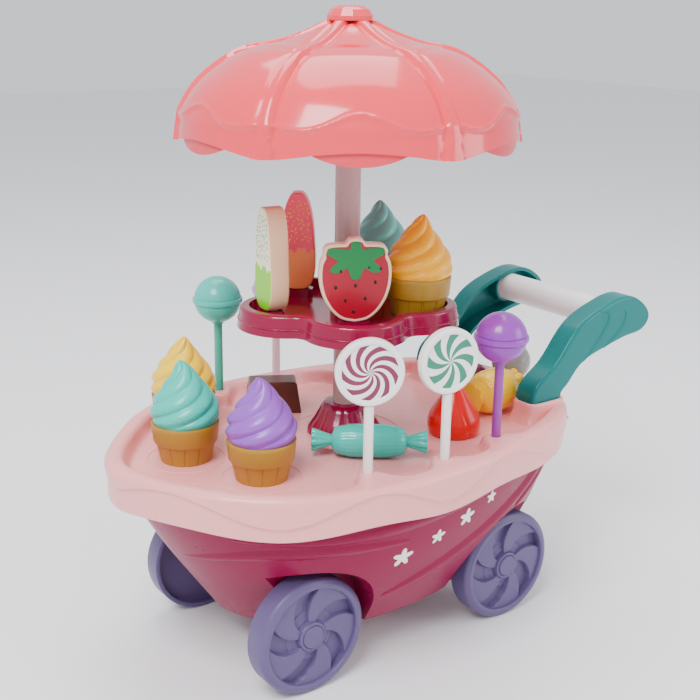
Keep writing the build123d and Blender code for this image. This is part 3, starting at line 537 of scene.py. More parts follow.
class Cart:
    """The frame, its finishes and everything shown on it."""

    def __init__(self, frame: dict) -> None:
        self.frame = frame
        self.paints = Paintbox()
        self.copies = {facing: Repeater(facing) for facing in Facing}
        self.body_of = {}
        for body, nodes in frame["record"]["behaviour"]["bodies"].items():
            for node in nodes:
                self.body_of[node] = body
        self.slot_of = {item["node"]: item["material_slot"] for item in frame["record"]["subparts"]}

    def box(self, node: str) -> tuple[np.ndarray, np.ndarray]:
        """A node's lowest and highest corner in millimetres."""
        low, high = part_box(node)
        return np.array(low) / MM, np.array(high) / MM

    def paint(self, node: str, finish: Finish) -> None:
        """Gives a node of the frame its finish."""
        piece = self.frame["nodes"][node]
        if not piece.material_slots:
            piece.data.materials.append(None)
        for slot in piece.material_slots:
            slot.link = "OBJECT"
            slot.material = self.paints.material(finish)

    def surface(self, node: str) -> BVHTree:
        """A search tree over a node of the frame, in millimetres."""
        piece = self.frame["nodes"][node]
        points = np.empty(len(piece.data.vertices) * 3)
        piece.data.vertices.foreach_get("co", points)
        world = np.array(piece.matrix_world)
        points = (points.reshape(-1, 3) @ world[:3, :3].T + world[:3, 3]) / MM
        faces = [tuple(face.vertices) for face in piece.data.polygons]
        return BVHTree.FromPolygons([Vector(point) for point in points], faces)

    def show(self, name: str, shape: Shape, finish: Finish, node: str, layout: Print = Print.PLAIN,
             instead: bool = True, crease: float = 38, flat: np.ndarray | None = None) -> None:
        """Shows a shape on the body of a node.

        Args:
            name: the piece's name.
            shape: its shape in millimetres.
            finish, layout: its material.
            node: the node it belongs with.
            instead: it stands for that node.
            crease: degrees above which an edge stays sharp.
            flat: print coordinates by vertex.
        """
        points, faces = shape
        mesh = plain_mesh(np.asarray(points) * MM, faces)
        mesh.name = name
        if flat is not None:
            layer = mesh.attributes.new("flat", "FLOAT_VECTOR", "POINT")
            layer.data.foreach_set("vector", np.asarray(flat, float).ravel())
        tidy = bmesh.new()
        tidy.from_mesh(mesh)
        bmesh.ops.recalc_face_normals(tidy, faces=tidy.faces)
        tidy.to_mesh(mesh)
        tidy.free()
        mesh.polygons.foreach_set("use_smooth", [True] * len(mesh.polygons))
        mesh.set_sharp_from_angle(angle=math.radians(crease))
        mesh.materials.append(self.paints.material(finish, layout))
        piece = bpy.data.objects.new(name, mesh)
        bpy.context.scene.collection.objects.link(piece)
        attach(piece, self.body_of[node])
        if instead:
            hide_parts(node)


@dataclass(frozen=True)
class RidgeSize:
    """A raised line: its width, its rise and whether it fades out at both ends."""
    width: float
    rise: float
    tapered: bool = True


def found_along(tree: BVHTree, starts: Line, directions: Line) -> list[tuple[np.ndarray, np.ndarray]]:
    """Places and outward normals where rays meet a surface, as the longest run without a jump."""
    runs = [[]]
    for start, direction in zip(starts, directions):
        place, normal, _, _ = tree.ray_cast(Vector(start), Vector(direction))
        if place is None:
            continue
        if normal.dot(Vector(direction)) > 0:
            normal = -normal
        place = np.array(place)
        if runs[-1] and np.linalg.norm(place - runs[-1][-1][0]) > LONGEST_JUMP:
            runs.append([])
        runs[-1].append((place, np.array(normal)))
    return max(runs, key=len)


def softened(rows: np.ndarray, times: int) -> np.ndarray:
    """Rows of numbers averaged with their neighbours; the first and last stay."""
    for _ in range(times):
        rows[1:-1] = (rows[:-2] + 2 * rows[1:-1] + rows[2:]) / 4
    return rows


def ridge(tree: BVHTree, starts: Line, directions: Line, size: RidgeSize) -> Shape:
    """A raised line that lies on a surface and follows it across its width.

    Args:
        tree: the surface.
        starts, directions: rays that find its points.
        size: its width, rise and ends.

    Returns:
        The closed shape of the line.
    """
    found = found_along(tree, starts, directions)
    places = softened(np.array([place for place, _ in found]), 2)
    normals = softened(np.array([normal for _, normal in found]), 3)
    normals /= np.linalg.norm(normals, axis=1)[:, None]
    along = np.gradient(places, axis=0)
    along /= np.linalg.norm(along, axis=1)[:, None]
    side = np.cross(along, normals)
    rings = []
    for index, (place, normal, out) in enumerate(zip(places, normals, side)):
        share = index / (len(places) - 1)
        fade = math.sin(math.pi * share) ** 0.5 if size.tapered else 1.0
        fade = max(fade, 0.02)
        ring = []
        for step in np.linspace(-1, 1, 11):
            height = size.rise * fade * math.cos(step * math.pi / 2) ** 2 - 0.25 * abs(step) ** 3
            foot = place + out * step * size.width / 2 * fade
            seat = tree.ray_cast(Vector(foot + normal * 4), Vector(-normal), 8.0)[0]
            ring.append((np.array(seat) if seat else foot) + normal * height)
        for sign in (1, -1):
            ring.append(place + sign * out * size.width / 4 * fade - normal * 0.8)
        rings.append(np.array(ring))
    ends = [rings[index].mean(axis=0)[None, :] for index in (0, -1)]
    return skin([ends[0]] + rings + [ends[1]])


def side_ridges(tree: BVHTree, paths: Sequence[tuple[Line, RidgeSize]], sides: Sequence[int]) -> Shape:
    """Raised lines drawn as (X, Z) points and laid on the sides (-1 left, 1 right) of a surface."""
    shapes = []
    for path, size in paths:
        for side in sides:
            starts = [(x, side * FAR, z) for x, z in path]
            shapes.append(ridge(tree, starts, [(0, -side, 0)] * len(path), size))
    return merged(shapes)


@dataclass(frozen=True)
class HullLines:
    """Sweeping lines on the hull's side: (X, Z) points, width and rise. Then stars: X, Z and reach."""
    sweeps: tuple = ((((-58, 52), (-20, 66), (30, 86), (70, 104), (106, 123)), 15.0, 2.4),
                     (((-22, 36), (8, 50), (42, 76), (76, 99), (106, 116)), 13.0, 2.2),
                     (((4, 33), (22, 44), (44, 62), (70, 84), (98, 105)), 11.0, 2.0),
                     (((-158, 56), (-157, 80), (-140, 94), (-105, 99), (-50, 96)), 12.0, 1.9),
                     (((-150, 106), (-90, 107), (-30, 110), (40, 117), (100, 125)), 12.0, 1.6))
    stars: tuple = ((-54, 84, 7.5), (-29, 92, 5.5), (-6, 99, 6.5), (16, 106, 4.5))


class Hull:
    """The boat-shaped tub and what shows of its bearings."""

    def __init__(self, lines: HullLines = HullLines()) -> None:
        self.lines = lines

    def build(self, cart: Cart) -> None:
        """Shows the hull."""
        cart.paint("hull", HULL)
        cart.paint("axle_bushes", BUSH)
        tree = cart.surface("hull")
        paths = [(smooth_line(line, 60), RidgeSize(width, rise)) for line, width, rise in self.lines.sweeps]
        cart.show("hull_sweeps", side_ridges(tree, paths, (-1, 1)), HULL, "hull", instead=False, crease=80)
        stars = [self.star(tree, *star) for star in self.lines.stars]
        cart.show("hull_motif", merged(stars), MOTIF, "hull", instead=False)

    def star(self, tree: BVHTree, x: float, z: float, reach: float) -> Shape:
        """A plain round-armed star that lies on the hull's left side."""
        place, normal, _, _ = tree.ray_cast(Vector((x, -FAR, z)), Vector((0, 1, 0)))
        angles = spread_angles(60)
        arms = reach * (0.72 + 0.28 * np.cos(5 * angles))
        shape, _ = plate(np.column_stack([arms * np.sin(angles), arms * np.cos(angles)]), 0.35, 0.3)
        ahead = np.array(normal) if normal.y < 0 else -np.array(normal)
        across = np.cross((0, 0, 1), ahead)
        across /= np.linalg.norm(across)
        return placed(shape, place, across, np.cross(ahead, across), ahead)


@dataclass(frozen=True)
class WheelSize:
    """A wheel's relief, in millimetres from its back, and its blades."""
    blades: int = 5
    sweep: float = 0.55
    hub_half: float = 0.27
    rim_half: float = 0.44
    top: float = 13.6
    sunk: float = 9.8


class RunningGear:
    """Axles, wheels and hub caps."""

    def __init__(self, size: WheelSize = WheelSize()) -> None:
        self.size = size

    def build(self, cart: Cart) -> None:
        """Shows both wheelsets."""
        for end in ("front", "rear"):
            cart.paint(end + "_axle", STEEL)
            for side in ("left", "right"):
                self.wheel(cart, f"{end}_{side}_wheel", -1 if side == "left" else 1)
                cart.paint(f"{end}_{side}_hub_cap", MAUVE)

    def wheel(self, cart: Cart, node: str, side: int) -> None:
        """One wheel: rounded rim, swept blades over a stepped web, hub ring and hollow back."""
        size = self.size
        low, high = cart.box(node)
        rim = (high[2] - low[2]) / 2
        width = high[1] - low[1]
        angles = spread_angles(360)
        inner = rim - 6.4
        back = [(2.0, 0.6), (6.0, 0.6), (6.0, 7.0), (rim - 3.6, 7.0), (rim - 3.0, 6.4), (rim - 3.0, 0.4),
                (rim - 2.6, 0.0), (rim - 0.6, 0.0), (rim, 0.5), (rim, width - 3.4), (rim - 0.3, width - 2.3),
                (rim - 1.1, width - 1.4), (rim - 2.1, width - 0.8), (rim - 2.8, width - 0.5),
                (rim - 3.2, width - 0.1), (rim - 4.0, width), (inner + 0.9, width),
                (inner + 0.4, width - 0.3), (inner + 0.15, width - 1.0), (inner, size.top)]
        rings = [hoop(angles, radius, level) for radius, level in back]
        for radius in np.linspace(inner - 0.15, 10.2, 44):
            share = (radius - 10.2) / (inner - 10.2)
            swept = angles + size.sweep * share ** 1.3 + 0.35
            offset = swept % (FULL / size.blades) - FULL / size.blades / 2
            half = size.hub_half + (size.rim_half - size.hub_half) * share
            edge = (half - np.abs(offset)) * radius / 0.45
            blade = 1 / (1 + np.exp(-edge * 3))
            step = 0.9 / (1 + math.exp((radius - 17) * 4)) + 0.7 / (1 + math.exp((radius - 13) * 4))
            web = size.sunk + step
            rings.append(hoop(angles, radius, web + (size.top - web) * blade))
        front = [(9.5, size.top - 0.3), (9.25, width - 1.2), (8.8, width - 0.8), (7.7, width - 0.8),
                 (7.4, width - 1.1), (7.4, width - 2.6), (2.0, width - 2.6)]
        rings += [hoop(angles, radius, level) for radius, level in front]
        middle = (low + high) / 2
        at = (middle[0], high[1] if side < 0 else low[1], middle[2])
        shape = placed(skin(rings, looped=True), at, (-side, 0, 0), (0, 0, 1), (0, side, 0))
        cart.show(node + "_bladed", shape, MAUVE, node, crease=42)


@dataclass(frozen=True)
class TraySize:
    """The tray's rim, deck and the wave round its skirt."""
    rim: float = 13.0
    rise: float = 10.0
    edge: float = 5.0
    skirt_wall: float = 2.5
    deck: float = 2.5
    boss_reach: float = 10.5
    boss_spread: float = 11.0
    wave: float = 130.0
    swing: float = 7.5
    waves: int = 7
    crest: float = 115.0
    step: float = 1.6
    stations: int = 480


class SweetTray:
    """The main tray: broad rim that widens round the sticks, waved skirt, deck and arm collars."""

    STICKS = ("red_disc", "green_disc", "purple_ball", "teal_ball", "pink_ball")
    SEATS = (("teal_ice_cream_cup", 24), ("purple_ice_cream_cup", 24), ("yellow_ice_cream_cup", 24),
             ("pole_base", 36))

    def __init__(self, size: TraySize = TraySize()) -> None:
        self.size = size

    def build(self, cart: Cart) -> None:
        """Shows the tray."""
        size = self.size
        low, high = cart.box("main_tray")
        self.bottom = low[2]
        sticks = [cart.box(name + "_lollipop_stick") for name in self.STICKS]
        bosses = [((a + b) / 2)[:2] for a, b in sticks]
        bosses.append(bosses[self.STICKS.index("purple_ball")] * (1, -1))
        self.top = cart.box("hull")[1][2] + size.deck + size.rise
        self.centre = ((low + high) / 2)[:2]
        outline = self.outline(cart.surface("main_tray"))
        cart.show("tray_shell", self.shell(outline, bosses), TRAY, "main_tray", crease=50)
        self.holes(cart, bosses)
        self.collars(cart)
        self.deck_lines(cart)

    def outline(self, tree: BVHTree) -> np.ndarray:
        """The tray's plan, found on the frame from outside."""
        angles = spread_angles(self.size.stations)
        reach = []
        for angle in angles:
            out = Vector((math.cos(angle), math.sin(angle), 0))
            start = Vector((self.centre[0], self.centre[1], self.bottom + 10)) + out * FAR
            place, _, _, _ = tree.ray_cast(start, -out)
            reach.append((Vector((place.x, place.y)) - Vector(self.centre)).length)
        reach = np.array(reach)
        for _ in range(6):
            reach = (np.roll(reach, 1) + 2 * reach + np.roll(reach, -1)) / 4
        return hoop(angles, reach, 0.0, self.centre)[:, :2]

    def shell(self, outline: np.ndarray, bosses: list[np.ndarray]) -> Shape:
        """The closed skin of the tray."""
        size = self.size
        along = np.roll(outline, -1, axis=0) - np.roll(outline, 1, axis=0)
        out = np.column_stack([along[:, 1], -along[:, 0]])
        out /= np.linalg.norm(out, axis=1)[:, None]
        steps = np.linalg.norm(np.roll(outline, -1, axis=0) - outline, axis=1)
        run = np.concatenate([[0], np.cumsum(steps)[:-1]])
        total = steps.sum()
        width = np.full(len(outline), size.rim)
        for boss in bosses:
            gap = np.linalg.norm(outline - boss, axis=1)
            near = int(np.argmin(gap))
            away = np.abs(run - run[near])
            away = np.minimum(away, total - away)
            more = max(0.0, gap[near] + size.boss_reach - size.rim)
            width += more * np.exp(-(away / size.boss_spread) ** 2)
        aside, forward = (outline - self.centre).T[::-1]
        turn = np.abs(np.degrees(np.arctan2(aside, forward)))
        swell = np.cos(np.radians(size.waves * (turn - size.crest)))
        line = size.wave + size.swing * swell
        foot = self.bottom + 1.8 + 1.8 * swell
        deck = self.top - size.rise

        def ring(inset: np.ndarray | float, level: np.ndarray | float) -> np.ndarray:
            inset = np.broadcast_to(inset, line.shape)[:, None]
            return np.column_stack([outline - out * inset, np.broadcast_to(level, line.shape)])

        def relief(level: np.ndarray) -> np.ndarray:
            rise = 1 / (1 + np.exp(-(level - line) / 0.22))
            lip = 0.5 * np.exp(-((level - line - 0.5) / 0.8) ** 2)
            return np.clip(size.step * (1 - rise) - lip * 0.6, 0, None)
        middle = np.array([[self.centre[0], self.centre[1], deck - size.deck]])
        rings = [middle, ring(30, deck - size.deck), ring(size.skirt_wall + 1.5, deck - size.deck),
                 ring(size.skirt_wall, deck - size.deck - 1.5), ring(size.skirt_wall, foot + 0.4),
                 ring(size.skirt_wall - 0.3, foot), ring(size.step + 0.4, foot), ring(size.step, foot + 0.4)]
        shoulder = self.top - size.edge
        for share in np.linspace(0.03, 1, 46):
            level = foot + 0.4 + (shoulder - foot - 0.4) * share
            rings.append(ring(relief(level), level))
        for angle in np.linspace(6, 90, 12) * math.pi / 180:
            level = shoulder + size.edge * math.sin(angle)
            inset = size.edge * (1 - math.cos(angle)) + relief(np.full(line.shape, level)) * math.cos(angle)
            rings.append(ring(inset, level))
        rings.append(ring(width - 5.5, self.top))
        for angle in np.linspace(12, 78, 7) * math.pi / 180:
            inset = width - 5.5 + 5.0 * math.sin(angle)
            rings.append(ring(inset, self.top - 5.0 * (1 - math.cos(angle))))
        rings += [ring(width + 0.3, deck + 3.4), ring(width + 1.2, deck + 1.3), ring(width + 2.6, deck + 0.3),
                  ring(width + 4.2, deck), ring(width + 6.0, deck)]
        rings.append(np.array([[self.centre[0], self.centre[1], deck]]))
        return skin(rings)

    def holes(self, cart: Cart, bosses: list[np.ndarray]) -> None:
        """A lip round each stick hole, with a dark disc painted inside it as the shade down in the hole."""
        lip = turned([(3.15, -1.0), (3.15, 0.1), (3.5, 0.35), (4.2, 0.3), (4.7, -0.1), (4.7, -1.0)], 40)
        # a thin dark disc over each hole: painted shade for the hole's depth
        painted_shade_disc = turned([(0, -0.6), (3.3, -0.6), (3.3, 0.02), (2.9, 0.0), (0, 0.0)], 40)
        lips = [placed(lip, (*boss, self.top)) for boss in bosses]
        painted_shade_discs = [placed(painted_shade_disc, (*boss, self.top)) for boss in bosses]
        cart.show("hole_lips", merged(lips), TRAY, "main_tray", instead=False)
        # the discs carry the painted shade colour
        cart.show("hole_pits", merged(painted_shade_discs), HOLE_SHADE_PAINT, "main_tray", instead=False)

    def collars(self, cart: Cart) -> None:
        """The two rounded sockets that the arms stand in."""
        angles = spread_angles(96)
        cosine, sine, power = np.cos(angles), np.sin(angles), 4.5
        shapes = []
        for name in ("left", "right"):
            low, high = cart.box(name + "_handle_arm")
            half_x, half_y = 14.0, (high[1] - low[1]) / 2
            middle = (low[0] + half_x, (low[1] + high[1]) / 2)
            foot, top = low[2] - 0.5, low[2] + 14.0
            rings = []
            section = ((0.15, foot), (0.15, top - 1.4), (0.5, top - 0.5), (1.2, top), (2.0, top - 0.2),
                       (2.6, top - 1.0), (2.7, top - 3.0), (2.9, top - 7.0), (4.2, foot + 3.0), (6.5, foot))
            for grow, level in section:
                scale = 1 / ((np.abs(cosine) / (half_x + grow)) ** power
                             + (np.abs(sine) / (half_y + grow)) ** power) ** (1 / power)
                rings.append(hoop(angles, scale, level, middle))
            shapes.append(skin(rings, looped=True))
        cart.show("arm_collars", merged(shapes), TRAY, "main_tray", instead=False)

    def deck_lines(self, cart: Cart) -> None:
        """Fine raised rings round the cups' seats and the pole."""
        shapes = []
        deck = self.top - self.size.rise
        for node, radius in self.SEATS:
            line = turned([(radius - 0.6, -0.4), (radius - 0.4, 0.25), (radius, 0.4), (radius + 0.4, 0.25),
                           (radius + 0.6, -0.4)], 120)
            middle = foot_of(*cart.box(node))
            shapes.append(placed(line, (middle[0], middle[1], deck)))
        cart.show("deck_lines", merged(shapes), TRAY, "main_tray", instead=False)


class Handle:
    """Arms and push bar."""

    FEATHERS = (((0.53, 0.91), (0.60, 0.885), (0.615, 0.82), (0.56, 0.69), (0.46, 0.53), (0.365, 0.37),
                 (0.31, 0.22), (0.295, 0.06)),
                ((0.75, 0.885), (0.77, 0.81), (0.72, 0.69), (0.60, 0.56), (0.49, 0.42), (0.43, 0.29)))

    def build(self, cart: Cart) -> None:
        """Shows the handle; the creases are placed by shares of an arm's length and height."""
        cart.paint("handle_bar", WHITE)
        for name, side in (("left", -1), ("right", 1)):
            node = name + "_handle_arm"
            cart.paint(node, TEAL)
            low, high = cart.box(node)
            corner, span = low[[0, 2]], (high - low)[[0, 2]]
            paths = [(corner + smooth_line(line, 60) * span, RidgeSize(2.6, 0.9)) for line in self.FEATHERS]
            cart.show(name + "_arm_feathers", side_ridges(cart.surface(node), paths, (side,)), TEAL, node,
                      instead=False, crease=80)


class PoleAndDish:
    """Pole, its foot and the raised dish, with a fine line round it below its rim."""

    LINE_DROP = 11.0

    def build(self, cart: Cart) -> None:
        """Shows the pole and the dish."""
        for node in ("lower_pole", "upper_pole"):
            cart.paint(node, PALE)
        cart.paint("upper_tray", RASPBERRY)
        self.foot(cart)
        pole = foot_of(*cart.box("lower_pole"))
        dish = cart.box("upper_tray")[1][2]
        starts, directions = [], []
        for step in range(361):
            angle = step * FULL / 360
            reach = Vector((math.cos(angle), math.sin(angle), 0))
            starts.append(Vector((pole[0], pole[1], dish - self.LINE_DROP)) + reach * FAR)
            directions.append(-reach)
        made = ridge(cart.surface("upper_tray"), starts, directions, RidgeSize(1.8, 0.6, tapered=False))
        cart.show("dish_line", made, RASPBERRY, "upper_tray", instead=False, crease=80)

    def foot(self, cart: Cart) -> None:
        """The petalled skirt round the pole's foot."""
        low, high = cart.box("pole_base")
        pole_low, pole_high = cart.box("lower_pole")
        height, radius = high[2] - low[2], (high[0] - low[0]) / 2
        bore = (pole_high[0] - pole_low[0]) / 2

        def petals(angles: np.ndarray, reach: float, level: float) -> np.ndarray:
            share = 1 - level / height
            waist = 0.10 * (0.35 + 0.65 * share)
            out = reach * (1 - waist * (1 - np.abs(np.cos(3.5 * angles)) ** 0.7))
            return np.maximum(out, bore)
        profile = [(bore, 0.0), (radius * 0.95, 0.0), (radius * 1.0, 0.6), (radius * 0.98, height * 0.2),
                   (radius * 0.80, height * 0.5), (radius * 0.66, height * 0.8),
                   (radius * 0.58, height * 0.97), (radius * 0.52, height), (bore, height)]
        angles = spread_angles(168)
        rings = [hoop(angles, petals(angles, reach, level), level) for reach, level in profile]
        shape = placed(skin(rings, looped=True), foot_of(low, high))
        cart.show("pole_foot", shape, RASPBERRY, "pole_base", crease=50)


@dataclass(frozen=True)
class CanopySize:
    """The umbrella's relief; the waves' line runs `line` from the edge, with two swings."""
    ribs: int = 6
    turn: float = -93.0
    rib_half: float = 3.2
    rib_rise: float = 2.3
    wall: float = 2.2
    arch: float = 6.0
    wave_rise: float = 1.5
    line: float = 19.0
    swing: float = 7.5
    second_swing: float = 5.5
    step_rise: float = 0.7
    step_share: float = 0.60
    neck: float = 7.0


class Umbrella:
    """The canopy, its lining, socket and knob."""

    PROFILE = ((1.0, 0.0), (0.985, 0.14), (0.96, 0.27), (0.84, 0.49), (0.62, 0.69), (0.39, 0.76),
               (0.225, 0.84), (0.10, 0.93))

    def __init__(self, size: CanopySize = CanopySize()) -> None:
        self.size = size

    def build(self, cart: Cart) -> None:
        """Shows the umbrella."""
        cart.paint("canopy_liner", LINER)
        cart.paint("canopy_socket", LINER)
        low, high = cart.box("canopy")
        knob_low, knob_high = cart.box("canopy_finial")
        middle = foot_of(knob_low, knob_high)
        self.radius = max(high[:2] - low[:2]) / 2
        self.height = knob_high[2] - low[2]
        self.top = high[2] - low[2]
        shape = placed(self.skin(), (middle[0], middle[1], low[2]))
        cart.show("canopy_skin", shape, CORAL, "canopy", crease=50)
        self.knob(cart, knob_low, knob_high)

    def skin(self) -> Shape:
        """The canopy's outer and inner faces with ribs, arches, waves and crease."""
        line = smooth_line([(r * self.radius, z * self.height) for r, z in self.PROFILE], 400)
        line = line[line[:, 1] <= self.top]
        inward = np.linspace(line[-1, 0], self.size.neck, 30)[1:]
        line = np.vstack([line, np.column_stack([inward, np.full(len(inward), self.top)])])
        lengths = np.concatenate([[0], np.cumsum(np.hypot(*np.diff(line, axis=0).T))])
        shares = np.linspace(0, 1, 110)
        outer = [self.ring(share, lengths, line, False) for share in shares]
        inner = [self.ring(share, lengths, line, True) for share in shares[::-1]]
        return skin(outer + inner, looped=True)

    def ring(self, share: float, lengths: np.ndarray, line: np.ndarray, inside: bool) -> np.ndarray:
        """One ring of the canopy.

        Args:
            share: where it lies on its section, from the edge to the neck.
            lengths, line: the section's points and their distances from the edge.
            inside: it belongs to the inner face.

        Returns:
            Its points.
        """
        size = self.size
        total = lengths[-1]
        panel = FULL / size.ribs
        angles = spread_angles(size.ribs * 64)
        offset = (angles - math.radians(size.turn)) % panel / panel
        middle = np.abs(offset - 0.5) * 2
        start = size.arch * (1 - middle ** 2) * (1 - np.exp(-3 * (1 - middle)))
        runs = start + (total - start) * share
        radius, height = (np.interp(runs, lengths, line[:, axis]) for axis in (0, 1))
        ahead, behind = np.clip(runs + 2, 0, total), np.clip(runs - 2, 0, total)
        across, up = (np.interp(ahead, lengths, line[:, axis]) - np.interp(behind, lengths, line[:, axis])
                      for axis in (0, 1))
        norm = np.hypot(across, up)
        relief = np.full(len(angles), -size.rib_rise - 0.2)
        if inside:
            relief -= size.wall
        else:
            from_rib = np.minimum(offset, 1 - offset) * panel * radius
            flare = size.rib_half * (1 + 1.3 * np.exp(-runs / 12))
            bump = np.clip((flare + 0.8 - from_rib) / 1.6, 0, 1)
            bump = bump * bump * (3 - 2 * bump)
            crown = 0.35 * np.clip(from_rib / flare, 0, 1) ** 2
            relief += bump * (size.rib_rise - crown)
            relief += self.waves(runs, offset, total) * (1 - bump)
            groove = np.exp(-((from_rib - flare - 1.2) / 2.4) ** 2)
            puff = np.sin(np.pi * offset) ** 1.2 * np.clip(radius / self.radius, 0, 1)
            relief += (1.3 * puff - 0.9 * groove) * (1 - bump) * np.clip(runs / 25, 0.3, 1)
        return hoop(angles, radius + relief * up / norm, height - relief * across / norm)

    def waves(self, runs: np.ndarray, offset: np.ndarray, total: float) -> np.ndarray:
        """The raised wave near the edge and the fine step across the upper panel."""
        size = self.size
        line = size.line + size.swing * np.sin(np.pi * offset) ** 2
        line -= size.second_swing * np.sin(2 * np.pi * offset) ** 2
        wave = size.wave_rise * np.exp(-((runs - line) / 1.3) ** 2) - 0.5 / (1 + np.exp(runs - line))
        past = runs - size.step_share * total - 4 * np.sin(np.pi * offset)
        step = size.step_rise / (1 + np.exp(-past * 1.6))
        return wave + step * np.clip((total - runs) / 14, 0, 1)

    def knob(self, cart: Cart, low: np.ndarray, high: np.ndarray) -> None:
        """The faceted knob."""
        height = high[2] - low[2]
        radius = (high[0] - low[0]) / 2

        def facets(angles: np.ndarray, reach: float, _level: float) -> np.ndarray:
            step = FULL / 12
            return reach * math.cos(step / 2) / np.cos(angles % step - step / 2)
        seat = 1.6
        profile = [(0, 0), (radius * 0.42, 0), (radius * 0.42, seat), (radius * 0.98, seat),
                   (radius, seat + height * 0.08), (radius, seat + height * 0.26),
                   (radius * 0.84, height * 0.78),
                   (radius * 0.56, height * 0.985), (radius * 0.5, height), (0, height)]
        shape = placed(turned(profile, 96, facets), foot_of(low, high))
        cart.show("knob", shape, CORAL, "canopy_finial", crease=22)


@dataclass(frozen=True)
class SwirlSize:
    """Soft-serve: its ropes, their winding and depth, its tip's lean, and its round seat in the cup."""
    turns: float = 1.15
    ropes: int = 5
    depth: float = 2.6
    lean: float = 2.4
    seat: float = 3.0
    spigot: float = 18.4


class IceCreams:
    """Wafer cups and their swirls."""

    NAMES = ("teal", "purple", "yellow", "orange", "blue")

    def __init__(self, size: SwirlSize = SwirlSize()) -> None:
        self.size = size

    def build(self, cart: Cart) -> None:
        """Shows every ice cream."""
        for index, name in enumerate(self.NAMES):
            self.cup(cart, name + "_ice_cream_cup")
            self.swirl(cart, name + "_ice_cream_swirl", ICES[name], index)

    def cup(self, cart: Cart, node: str) -> None:
        """A wafer cup: broad plain band over a panelled taper."""
        low, high = cart.box(node)
        radius = (high[0] - low[0]) / 2
        height = high[2] - low[2]
        band = height * 0.52

        def panels(angles: np.ndarray, reach: float, level: float) -> np.ndarray:
            if level > band - 0.4 or level < 0.3 or reach < radius * 0.68:
                return np.full(len(angles), reach)
            seam = np.abs(np.sin(6 * angles))
            return reach * (1 - 0.035 * np.exp(-(seam / 0.10) ** 2))
        foot = radius * 0.745
        mouth = radius - 2.0
        profile = [(0, 0), (foot - 0.5, 0), (foot, 0.4), (foot + 0.4, 2.4), (radius - 2.6, band - 0.6),
                   (radius - 2.4, band - 0.3), (radius - 1.5, band), (radius - 1.0, band + 0.8),
                   (radius - 0.35, height - 2.5), (radius - 0.05, height - 0.8), (radius - 0.5, height),
                   (mouth + 0.3, height), (mouth, height - 0.4), (mouth, height - 3.3),
                   (mouth - 2.0, height - 3.3), (foot - 2.0, 2.0), (0, 2.0)]
        shape = placed(turned(profile, 144, panels), foot_of(low, high))
        cart.show(node + "_wafer", shape, WAFER, node, crease=50)

    def swirl(self, cart: Cart, node: str, finish: Finish, index: int) -> None:
        """A swirl of soft ropes that wind up to a leaning tip.

        Args:
            cart: what it is shown on.
            node: its node.
            finish: its look.
            index: sets how its ropes and its tip are turned.
        """
        size = self.size
        low, high = cart.box(node)
        radius = (high[0] - low[0]) / 2
        height = high[2] - low[2] - size.seat
        outline = smooth_line([(0.90, 0.0), (0.985, 0.10), (0.97, 0.24), (0.86, 0.40), (0.64, 0.58),
                               (0.40, 0.76), (0.19, 0.92), (0.07, 0.985), (0.0, 1.0)], 90)
        angles = spread_angles(180)
        turn = index * 1.3 + 2.2
        ahead = np.array((math.cos(turn), math.sin(turn)))
        rings = [np.zeros((1, 3))]
        for reach, level in ((size.spigot - 0.4, 0.0), (size.spigot, 0.4), (size.spigot, size.seat)):
            rings.append(hoop(angles, reach, level))
        for reach, level in outline[:-1]:
            phase = size.ropes * (angles + index) - size.turns * size.ropes * level * 4.2
            rope = np.abs(np.sin(phase / 2)) ** 0.75
            depth = size.depth * min(1.0, level * 9) * (0.30 + 0.70 * reach)
            out = np.maximum(reach * radius - depth * (1 - rope), 0.15)
            lean = size.lean * max(0.0, level - 0.72) ** 2 / 0.078
            rings.append(hoop(angles, out, size.seat + level * height, lean * ahead))
        rings.append(np.array([[*(size.lean * ahead), size.seat + height]]))
        cart.show(node + "_ropes", placed(skin(rings), foot_of(low, high)), finish, node, crease=70)


